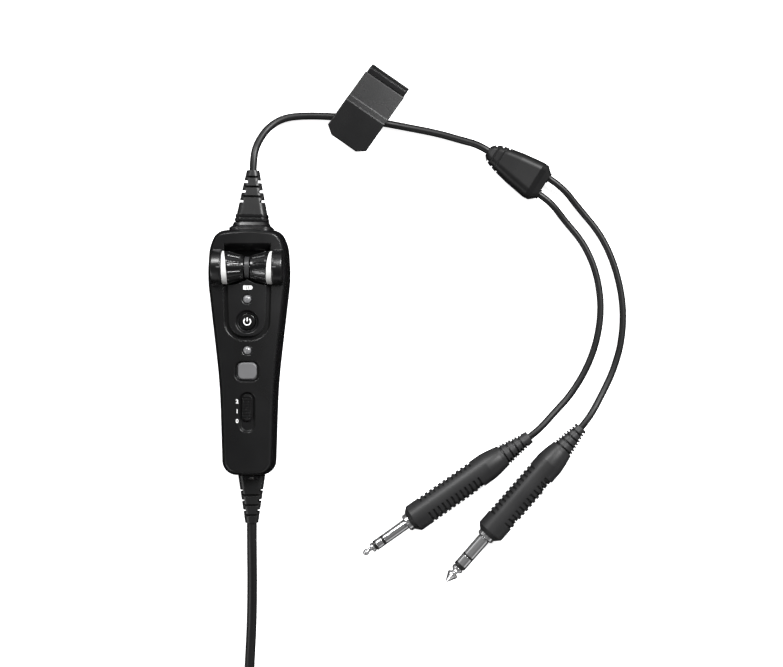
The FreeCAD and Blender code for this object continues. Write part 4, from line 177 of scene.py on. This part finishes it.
def nurbs_cable(name, points, diameter):
    """Smooth round cable whose control points are the route's points, in millimetres.

    Each point's radius gives the thickness, and so the size of the cable's box.
    """
    curve = bpy.data.curves.new(name, "CURVE")
    curve.dimensions = "3D"
    curve.bevel_depth = 1.0
    curve.bevel_resolution = CABLE_ROUNDNESS
    curve.resolution_u = CABLE_SMOOTHNESS
    curve.use_fill_caps = True
    spline = curve.splines.new("NURBS")
    spline.points.add(len(points) - 1)
    for place, point in zip(spline.points, points):
        place.co = (point[0] * MM, point[1] * MM, point[2] * MM, 1.0)
        place.radius = diameter / 2
    spline.order_u = 3
    spline.use_endpoint_u = True
    cable = bpy.data.objects.new(name, curve)
    bpy.context.scene.collection.objects.link(cable)
    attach(cable, "module")
    return cable


def branch_exit(side):
    """Where a lead leaves the branch moulding; side +1 is the left one, seen along the cable."""
    along = heading(BRANCH_HEADING)
    left = Vector((-along.y, along.x, 0.0))
    reach = BRANCH_LENGTH + COLLAR_REACH
    return Vector(BRANCH_NOSE) + along * reach + left * (side * LEAD_SPACING / 2)


def plug_cable_route():
    """Up from the module, through the clip, and into the branch moulding."""
    start = Vector(RELIEF_TIP)
    nose = Vector(BRANCH_NOSE)
    return [start,
            start + heading(90 - RELIEF_LEAN) * PLUG_CABLE_RUNS[0],
            (4.1, 104.2, 8.2),
            (8.5, 111.1, 4.6),
            (16.1, 116.2, 2.5),
            (28.7, 117.3, 1.95),
            (47.2, 116.2, 3.3),
            (63.6, 113.8, 3.3),
            (77.4, 111.4, 1.95),
            (93.0, 108.4, 2.0),
            (104.6, 104.9, 3.3),
            nose - heading(BRANCH_HEADING) * PLUG_CABLE_RUNS[1],
            nose]


def mic_lead_route():
    """From the branch's right exit to the microphone plug's handle."""
    start = branch_exit(-1)
    tail = Vector(MIC_TIP) + heading(MIC_HEADING) * MIC_LENGTH
    return [start,
            start + heading(BRANCH_HEADING) * MIC_LEAD_RUNS[0],
            (157.1, 64.4, 2.6),
            (166.7, 53.4, 1.75),
            (173.1, 39.1, 1.75),
            (175.8, 22.1, 1.75),
            (173.9, 5.2, 1.75),
            (168.6, -9.6, 1.75),
            (160.4, -22.9, 2.4),
            (152.0, -31.6, 4.6),
            tail + heading(MIC_HEADING) * MIC_LEAD_RUNS[1],
            tail]


def phone_lead_route():
    """From the branch's left exit to the phone plug's handle."""
    start = branch_exit(1)
    tail = Vector(PHONE_TIP) + heading(PHONE_HEADING) * PHONE_LENGTH
    return [start,
            start + heading(BRANCH_HEADING) * PHONE_LEAD_RUNS[0],
            (164.4, 70.4, 2.6),
            (175.1, 58.0, 1.75),
            (182.3, 42.8, 1.75),
            (186.8, 23.4, 1.75),
            (186.2, 4.6, 1.75),
            (181.8, -10.9, 1.75),
            (175.9, -22.6, 3.4),
            tail + heading(PHONE_HEADING) * PHONE_LEAD_RUNS[1],
            tail]


def coil_point(turn, spread):
    """Centre of the coiled cable after a number of turns; spread moves a control point outwards."""
    angle = math.pi + 2 * math.pi * turn
    radius = COIL_OUTER_RADIUS - COIL_PITCH * (COIL_REVERSAL - abs(turn - COIL_REVERSAL))
    share = min(max((turn - COIL_REVERSAL) / COIL_CROSSING + 0.5, 0.0), 1.0)
    height = COIL_BASE_Z + COIL_LAYER_RISE * (3 * share ** 2 - 2 * share ** 3)
    return Vector((COIL_CENTRE[0] + radius * spread * math.cos(angle),
                   COIL_CENTRE[1] + radius * spread * math.sin(angle), height))


def coil_run(turn):
    """Level direction of the coil after a number of turns."""
    run = coil_point(turn + COIL_SMALL_TURN, 1.0) - coil_point(turn - COIL_SMALL_TURN, 1.0)
    run.z = 0.0
    return run.normalized()


def headset_cable_route():
    """Out of the module's foot, into the coil, and from the coil to the connector."""
    start = Vector(LOWER_RELIEF_TIP)
    into = coil_point(0.0, 1.0)
    points = [start,
              start + Vector((0.0, -HEADSET_CABLE_RUNS[0], 0.0)),
              (0.6, -117.7, 6.4),
              (0.0, -138.4, 2.9),
              (-1.2, -160.0, 2.6),
              into - coil_run(0.0) * COIL_ENTRY_RUN]
    half_step = math.pi / COIL_POINTS_PER_TURN
    spread = 1 / math.cos(half_step)
    count = int(round(COIL_TURNS * COIL_POINTS_PER_TURN))
    for index in range(count):
        points.append(coil_point((index + 0.5) / COIL_POINTS_PER_TURN, spread))
    out = coil_point(COIL_TURNS, 1.0)
    run = coil_run(COIL_TURNS)
    connector = Vector((out.x + CONNECTOR_OFFSET[0], out.y + CONNECTOR_OFFSET[1], CONNECTOR_Z))
    points += [out + run * COIL_EXIT_RUNS[0],
               out + run * COIL_EXIT_RUNS[1] - Vector((0.0, 0.0, COIL_EXIT_DROP)),
               connector - Vector((HEADSET_CABLE_RUNS[1], 0.0, 0.0)),
               connector]
    return points


def make_cables():
    """The four cables, each in place of its plain tube."""
    plug_cable = nurbs_cable("plug_cable_jacket", plug_cable_route(), PLUG_CABLE_DIAMETER)
    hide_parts("plug_cable")
    mic_lead = nurbs_cable("mic_lead_jacket", mic_lead_route(), LEAD_DIAMETER)
    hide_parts("mic_lead")
    phone_lead = nurbs_cable("phone_lead_jacket", phone_lead_route(), LEAD_DIAMETER)
    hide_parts("phone_lead")
    headset_cable = nurbs_cable("headset_cable_jacket", headset_cable_route(), HEADSET_CABLE_DIAMETER)
    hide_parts("headset_cable", "headset_cable_coil", "headset_cable_tail")
    return {"plug": plug_cable, "mic": mic_lead, "phone": phone_lead, "headset": headset_cable}


# Materials


def noise(nodes, links, place, scale, detail):
    """Noise in the object's own coordinates."""
    made = nodes.new("ShaderNodeTexNoise")
    made.inputs["Scale"].default_value = scale
    made.inputs["Detail"].default_value = detail
    links.new(place.outputs["Object"], made.inputs["Vector"])
    return made


def crown_height(nodes, links, place):
    """Height of a gently arched face, highest along the middle of the module, for the bump to scale."""
    across = nodes.new("ShaderNodeSeparateXYZ")
    links.new(place.outputs["Object"], across.inputs["Vector"])
    squared = nodes.new("ShaderNodeMath")
    squared.operation = "MULTIPLY"
    links.new(across.outputs["X"], squared.inputs[0])
    links.new(across.outputs["X"], squared.inputs[1])
    drop = nodes.new("ShaderNodeMath")
    drop.operation = "MULTIPLY"
    drop.inputs[1].default_value = -CROWN_FALL
    links.new(squared.outputs["Value"], drop.inputs[0])
    return drop


def material(name, colour, roughness, metallic=0.0, specular=0.5, grain=1800.0, bump=0.02, vary=0.12,
             edge=0.25, crown=0.0):
    """Moulded or metal finish: fine grain, broad drift in colour and roughness, and rounded edges.

    The depth of the grain and the radius of the edges are in millimetres.
    """
    made = bpy.data.materials.new(name)
    made.use_nodes = True
    nodes = made.node_tree.nodes
    links = made.node_tree.links
    shader = nodes["Principled BSDF"]
    shader.inputs["Metallic"].default_value = metallic
    shader.inputs["Specular IOR Level"].default_value = specular
    place = nodes.new("ShaderNodeTexCoord")
    fine = noise(nodes, links, place, grain, GRAIN_DETAIL)
    broad = noise(nodes, links, place, DRIFT_SCALE, DRIFT_DETAIL)
    ramp = nodes.new("ShaderNodeValToRGB")
    ramp.color_ramp.elements[0].position = DRIFT_RANGE[0]
    ramp.color_ramp.elements[1].position = DRIFT_RANGE[1]
    ramp.color_ramp.elements[0].color = [c * (1 - vary) for c in colour] + [1.0]
    ramp.color_ramp.elements[1].color = [min(1.0, c * (1 + vary)) for c in colour] + [1.0]
    links.new(broad.outputs["Fac"], ramp.inputs["Fac"])
    links.new(ramp.outputs["Color"], shader.inputs["Base Color"])
    spread = nodes.new("ShaderNodeMapRange")
    spread.inputs["To Min"].default_value = max(ROUGHNESS_LEAST, roughness - ROUGHNESS_DRIFT)
    spread.inputs["To Max"].default_value = min(1.0, roughness + ROUGHNESS_DRIFT)
    links.new(broad.outputs["Fac"], spread.inputs["Value"])
    links.new(spread.outputs["Result"], shader.inputs["Roughness"])
    rounded = nodes.new("ShaderNodeBevel")
    rounded.samples = EDGE_SAMPLES
    rounded.inputs["Radius"].default_value = edge * MM
    normal = rounded.outputs["Normal"]
    if crown:
        arch = nodes.new("ShaderNodeBump")
        arch.inputs["Strength"].default_value = 1.0
        arch.inputs["Distance"].default_value = crown
        links.new(crown_height(nodes, links, place).outputs["Value"], arch.inputs["Height"])
        links.new(normal, arch.inputs["Normal"])
        normal = arch.outputs["Normal"]
    relief = nodes.new("ShaderNodeBump")
    relief.inputs["Strength"].default_value = 1.0
    relief.inputs["Distance"].default_value = bump * MM
    links.new(fine.outputs["Fac"], relief.inputs["Height"])
    links.new(normal, relief.inputs["Normal"])
    links.new(relief.outputs["Normal"], shader.inputs["Normal"])
    return made


FINISHES = {
    "housing_plastic": dict(colour=(0.0045, 0.0045, 0.0047), roughness=0.28, bump=0.005, edge=0.5,
                            crown=HOUSING_CROWN),
    "panel_plastic": dict(colour=(0.0050, 0.0050, 0.0052), roughness=0.3, bump=0.005, edge=0.5,
                          crown=HOUSING_CROWN),
    "door_plastic": dict(colour=(0.0060, 0.0060, 0.0062), roughness=0.42),
    "wheel_plastic": dict(colour=(0.0050, 0.0050, 0.0052), roughness=0.16, bump=0.003, edge=0.3),
    "band_plastic": dict(colour=(0.58, 0.58, 0.57), roughness=0.35, bump=0.004, edge=0.1),
    "axle_steel": dict(colour=(0.55, 0.55, 0.56), roughness=0.28, metallic=1.0, edge=0.1),
    "bridge_plastic": dict(colour=(0.03, 0.03, 0.031), roughness=0.28, bump=0.006),
    "control_metal": dict(colour=(0.5, 0.5, 0.5), roughness=0.35, metallic=1.0),
    "power_plastic": dict(colour=(0.005, 0.005, 0.005), roughness=0.16, bump=0.002, edge=0.4),
    "function_plastic": dict(colour=(0.105, 0.105, 0.108), roughness=0.38, bump=0.008, edge=0.5),
    "slider_plastic": dict(colour=(0.007, 0.007, 0.0072), roughness=0.22, bump=0.004, edge=0.1),
    "switch_metal": dict(colour=(0.6, 0.6, 0.6), roughness=0.35, metallic=1.0),
    "switch_plastic": dict(colour=(0.03, 0.03, 0.03), roughness=0.5),
    "lens_plastic": dict(colour=(0.14, 0.14, 0.145), roughness=0.1, bump=0.002),
    "lamp_plastic": dict(colour=(0.6, 0.6, 0.55), roughness=0.3),
    "board": dict(colour=(0.02, 0.08, 0.03), roughness=0.5),
    "cell_wrap": dict(colour=(0.05, 0.05, 0.055), roughness=0.3),
    "contact_metal": dict(colour=(0.7, 0.68, 0.62), roughness=0.3, metallic=1.0, edge=0.05),
    "screw_steel": dict(colour=(0.3, 0.3, 0.3), roughness=0.35, metallic=1.0, edge=0.1),
    "jack_plastic": dict(colour=(0.02, 0.02, 0.02), roughness=0.4, edge=0.1),
    "relief_rubber": dict(colour=(0.009, 0.009, 0.0092), roughness=0.38, specular=0.3, bump=0.015,
                          edge=0.2),
    "collar_plastic": dict(colour=(0.006, 0.006, 0.0062), roughness=0.2, bump=0.004, edge=0.3),
    "crimp_metal": dict(colour=(0.95, 0.95, 0.95), roughness=0.5, edge=0.1),
    "cable_jacket": dict(colour=(0.006, 0.006, 0.0062), roughness=0.42, specular=0.3, bump=0.01),
    "tie_strap": dict(colour=(0.02, 0.02, 0.02), roughness=0.6, grain=900.0, bump=0.08),
    "connector_plastic": dict(colour=(0.015, 0.015, 0.015), roughness=0.4),
    "connector_metal": dict(colour=(0.7, 0.7, 0.7), roughness=0.3, metallic=1.0, edge=0.1),
    "pin_metal": dict(colour=(0.8, 0.65, 0.3), roughness=0.25, metallic=1.0, edge=0.05),
    "junction_rubber": dict(colour=(0.006, 0.006, 0.0062), roughness=0.42, specular=0.2, bump=0.012,
                            edge=0.5),
    "clip_plastic": dict(colour=(0.004, 0.004, 0.0042), roughness=0.27, specular=0.3, bump=0.004, edge=0.8),
    "spring_steel": dict(colour=(0.6, 0.6, 0.6), roughness=0.3, metallic=1.0, edge=0.05),
    "handle_rubber": dict(colour=(0.016, 0.016, 0.0165), roughness=0.42, specular=0.3, bump=0.02, edge=0.4),
    "plug_chrome": dict(colour=(0.86, 0.86, 0.87), roughness=0.13, metallic=0.92, bump=0.0, vary=0.03,
                        edge=0.2),
    "insulator_plastic": dict(colour=(0.01, 0.01, 0.01), roughness=0.3, edge=0.05),
}
INK = dict(colour=(0.82, 0.82, 0.82), roughness=0.5, bump=0.004, edge=0.01)


def node_slots():
    """Material slot of each CAD node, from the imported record."""
    return {part["node"]: part["material_slot"] for part in frame["record"]["subparts"]}


def dress_nodes(finishes):
    """Gives each CAD node the finish that its record names."""
    for name, slot in node_slots().items():
        node = NODES[name]
        node.data.materials.clear()
        node.data.materials.append(finishes[slot])


# Printed marks: thin ink pads that ride on what they are printed on


def ink_pad(name, corners, faces, body, ink):
    """Thin raised pad from corners on the surface, in millimetres, and faces that list them."""
    count = len(corners)
    top = [(x * MM, y * MM, (z + INK_THICKNESS) * MM) for x, y, z in corners]
    base = [(x * MM, y * MM, (z - INK_THICKNESS) * MM) for x, y, z in corners]
    polygons = [tuple(face) for face in faces]
    polygons += [tuple(index + count for index in reversed(face)) for face in faces]
    sides = {}
    for face in faces:
        for start, end in zip(face, face[1:] + face[:1]):
            if (end, start) in sides:
                del sides[(end, start)]
            else:
                sides[(start, end)] = True
    polygons += [(end, start, start + count, end + count) for start, end in sides]
    mesh = bpy.data.meshes.new(name)
    mesh.from_pydata(top + base, [], polygons)
    mesh.materials.append(ink)
    pad = bpy.data.objects.new(name, mesh)
    bpy.context.scene.collection.objects.link(pad)
    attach(pad, body)


def dome_z(x, y):
    """Height of the power button's dome at a place given from its middle."""
    return FACE_Z - (x * x + y * y) / (2 * POWER_DOME_RADIUS)


def power_sign(ink):
    """Open ring with a bar in its gap, on the power button."""
    corners = []
    faces = []
    half = POWER_SIGN_STROKE / 2
    sweep = 360 - 2 * POWER_SIGN_GAP
    for step in range(POWER_SIGN_STEPS + 1):
        angle = math.radians(90 + POWER_SIGN_GAP + sweep * step / POWER_SIGN_STEPS)
        for reach in (POWER_SIGN_RADIUS - half, POWER_SIGN_RADIUS + half):
            x = reach * math.cos(angle)
            y = reach * math.sin(angle)
            corners.append((POWER_PLACE[0] + x, POWER_PLACE[1] + y, dome_z(x, y)))
    for step in range(POWER_SIGN_STEPS):
        first = 2 * step
        faces.append([first + 2, first + 3, first + 1, first])
    ring_end = len(corners)
    low, high = POWER_BAR_ENDS
    for x, y in ((-half, low), (half, low), (half, high), (-half, high)):
        corners.append((POWER_PLACE[0] + x, POWER_PLACE[1] + y, dome_z(x, y)))
    faces.append([ring_end, ring_end + 1, ring_end + 2, ring_end + 3])
    ink_pad("power_sign", corners, faces, "power_button", ink)


def battery_sign(ink):
    """Small battery: a frame with bars in it, its pole to the right."""
    half_x = BATTERY_SIZE[0] / 2
    half_y = BATTERY_SIZE[1] / 2
    inner_x = half_x - BATTERY_STROKE
    inner_y = half_y - BATTERY_STROKE
    boxes = [(-half_x, inner_y, half_x, half_y), (-half_x, -half_y, half_x, -inner_y),
             (-half_x, -inner_y, -inner_x, inner_y), (inner_x, -inner_y, half_x, inner_y),
             (half_x, -BATTERY_POLE, half_x + BATTERY_POLE, BATTERY_POLE)]
    step = 2 * inner_x / BATTERY_BARS
    for index in range(BATTERY_BARS):
        start = -inner_x + step * (index + BATTERY_BAR_START)
        end = start + step * BATTERY_BAR_SHARE
        boxes.append((start, -inner_y + BATTERY_BAR_INSET, end, inner_y - BATTERY_BAR_INSET))
    corners = []
    faces = []
    for x0, y0, x1, y1 in boxes:
        first = len(corners)
        for x, y in ((x0, y0), (x1, y0), (x1, y1), (x0, y1)):
            corners.append((BATTERY_PLACE[0] + x, BATTERY_PLACE[1] + y, FACE_Z))
        faces.append([first, first + 1, first + 2, first + 3])
    ink_pad("battery_sign", corners, faces, "module", ink)


def slider_numbers(ink):
    """Plain numbers beside the slide switch."""
    for text, y in NUMBER_PLACES:
        curve = bpy.data.curves.new("slider_number_" + text, "FONT")
        curve.body = text
        curve.size = NUMBER_SIZE * MM
        curve.align_x = "RIGHT"
        curve.offset = NUMBER_BOLDNESS * MM
        curve.extrude = INK_THICKNESS * MM
        drawn = bpy.data.objects.new("number_outline", curve)
        mesh = bpy.data.meshes.new_from_object(drawn)
        bpy.data.objects.remove(drawn)
        mesh.materials.clear()
        mesh.materials.append(ink)
        number = bpy.data.objects.new("slider_number_" + text, mesh)
        bpy.context.scene.collection.objects.link(number)
        number.location = Vector((NUMBER_RIGHT_X, y - NUMBER_LIFT, FACE_Z)) * MM
        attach(number, "module")


def index_ticks(ink):
    """Short mark on top of each hood, in line with the wheels' axis."""
    for side, name in ((-1, "index_tick_left"), (1, "index_tick_right")):
        corners = []
        for x, y in ((-1, -1), (1, -1), (1, 1), (-1, 1)):
            out = y * TICK_SIZE[1] / 2
            z = WHEEL_AXIS[1] + math.sqrt(HOOD_RADIUS ** 2 - out ** 2)
            corners.append((side * TICK_X + x * TICK_SIZE[0] / 2, WHEEL_AXIS[0] + out, z))
        ink_pad(name, corners, [[0, 1, 2, 3]], "module", ink)


# Floor and lights


def make_floor():
    """Pale floor that glows enough to hide the object's faint shadow, and that no gloss reflects."""
    mesh = bpy.data.meshes.new("floor")
    x, y = FLOOR_CENTRE
    half = FLOOR_SIZE / 2
    mesh.from_pydata([(x - half, y - half, 0), (x + half, y - half, 0), (x + half, y + half, 0),
                      (x - half, y + half, 0)], [], [(0, 1, 2, 3)])
    floor = bpy.data.objects.new("floor", mesh)
    bpy.context.scene.collection.objects.link(floor)
    paint = bpy.data.materials.new("floor_paint")
    paint.use_nodes = True
    shader = paint.node_tree.nodes["Principled BSDF"]
    shader.inputs["Base Color"].default_value = (FLOOR_SHADE, FLOOR_SHADE, FLOOR_SHADE, 1.0)
    shader.inputs["Roughness"].default_value = FLOOR_ROUGHNESS
    shader.inputs["Specular IOR Level"].default_value = FLOOR_SPECULAR
    shader.inputs["Emission Color"].default_value = (1.0, 1.0, 1.0, 1.0)
    shader.inputs["Emission Strength"].default_value = FLOOR_GLOW
    mesh.materials.append(paint)
    floor.visible_glossy = False


def area_light(name, azimuth, elevation, distance, size, power):
    """Softbox that faces the middle of the object from a direction given in degrees."""
    data = bpy.data.lights.new(name, "AREA")
    data.shape = "RECTANGLE"
    data.size = size[0]
    data.size_y = size[1]
    data.energy = power
    lamp = bpy.data.objects.new(name, data)
    bpy.context.scene.collection.objects.link(lamp)
    flat = distance * math.cos(math.radians(elevation))
    out = Vector((flat * math.cos(math.radians(azimuth)), flat * math.sin(math.radians(azimuth)),
                  distance * math.sin(math.radians(elevation))))
    lamp.location = Vector(LIGHT_CENTRE) + out
    lamp.rotation_euler = (-out).to_track_quat("-Z", "Y").to_euler()


def make_world():
    """Room that is dark at and below the horizon, brightest a little above it and dim overhead.

    The camera itself sees plain white in its place.
    """
    world = bpy.data.worlds.new("studio")
    world.use_nodes = True
    nodes = world.node_tree.nodes
    links = world.node_tree.links
    backdrop = nodes["Background"]
    backdrop.inputs["Strength"].default_value = 1.0
    place = nodes.new("ShaderNodeTexCoord")
    split = nodes.new("ShaderNodeSeparateXYZ")
    links.new(place.outputs["Generated"], split.inputs["Vector"])
    ramp = nodes.new("ShaderNodeValToRGB")
    ends = ramp.color_ramp.elements
    for stop, (position, level) in zip(ends, (ROOM_LEVELS[0], ROOM_LEVELS[-1])):
        stop.position = position
        stop.color = (level, level, level, 1.0)
    for position, level in ROOM_LEVELS[1:-1]:
        stop = ends.new(position)
        stop.color = (level, level, level, 1.0)
    links.new(split.outputs["Z"], ramp.inputs["Fac"])
    path = nodes.new("ShaderNodeLightPath")
    seen = nodes.new("ShaderNodeMixRGB")
    seen.inputs["Color2"].default_value = (1.0, 1.0, 1.0, 1.0)
    links.new(path.outputs["Is Camera Ray"], seen.inputs["Fac"])
    links.new(ramp.outputs["Color"], seen.inputs["Color1"])
    links.new(seen.outputs["Color"], backdrop.inputs["Color"])
    bpy.context.scene.world = world


def make_lights():
    """The room, a key light on each side and a low one from the lower left."""
    make_world()
    area_light("key_right", azimuth=48.0, elevation=48.0, distance=1.2, size=(0.45, 0.4), power=26.0)
    area_light("key_left", azimuth=118.0, elevation=40.0, distance=1.2, size=(0.5, 0.3), power=12.0)
    area_light("low_left", azimuth=215.0, elevation=30.0, distance=1.1, size=(0.5, 0.2), power=3.0)


make_camera()
cables = make_cables()
finishes = {slot: material(slot, **look) for slot, look in FINISHES.items()}
for cable in cables.values():
    cable.data.materials.append(finishes["cable_jacket"])
dress_nodes(finishes)
ink = material("white_ink", **INK)
power_sign(ink)
battery_sign(ink)
slider_numbers(ink)
index_ticks(finishes["function_plastic"])
make_floor()
make_lights()
bpy.context.scene.view_settings.view_transform = "Standard"
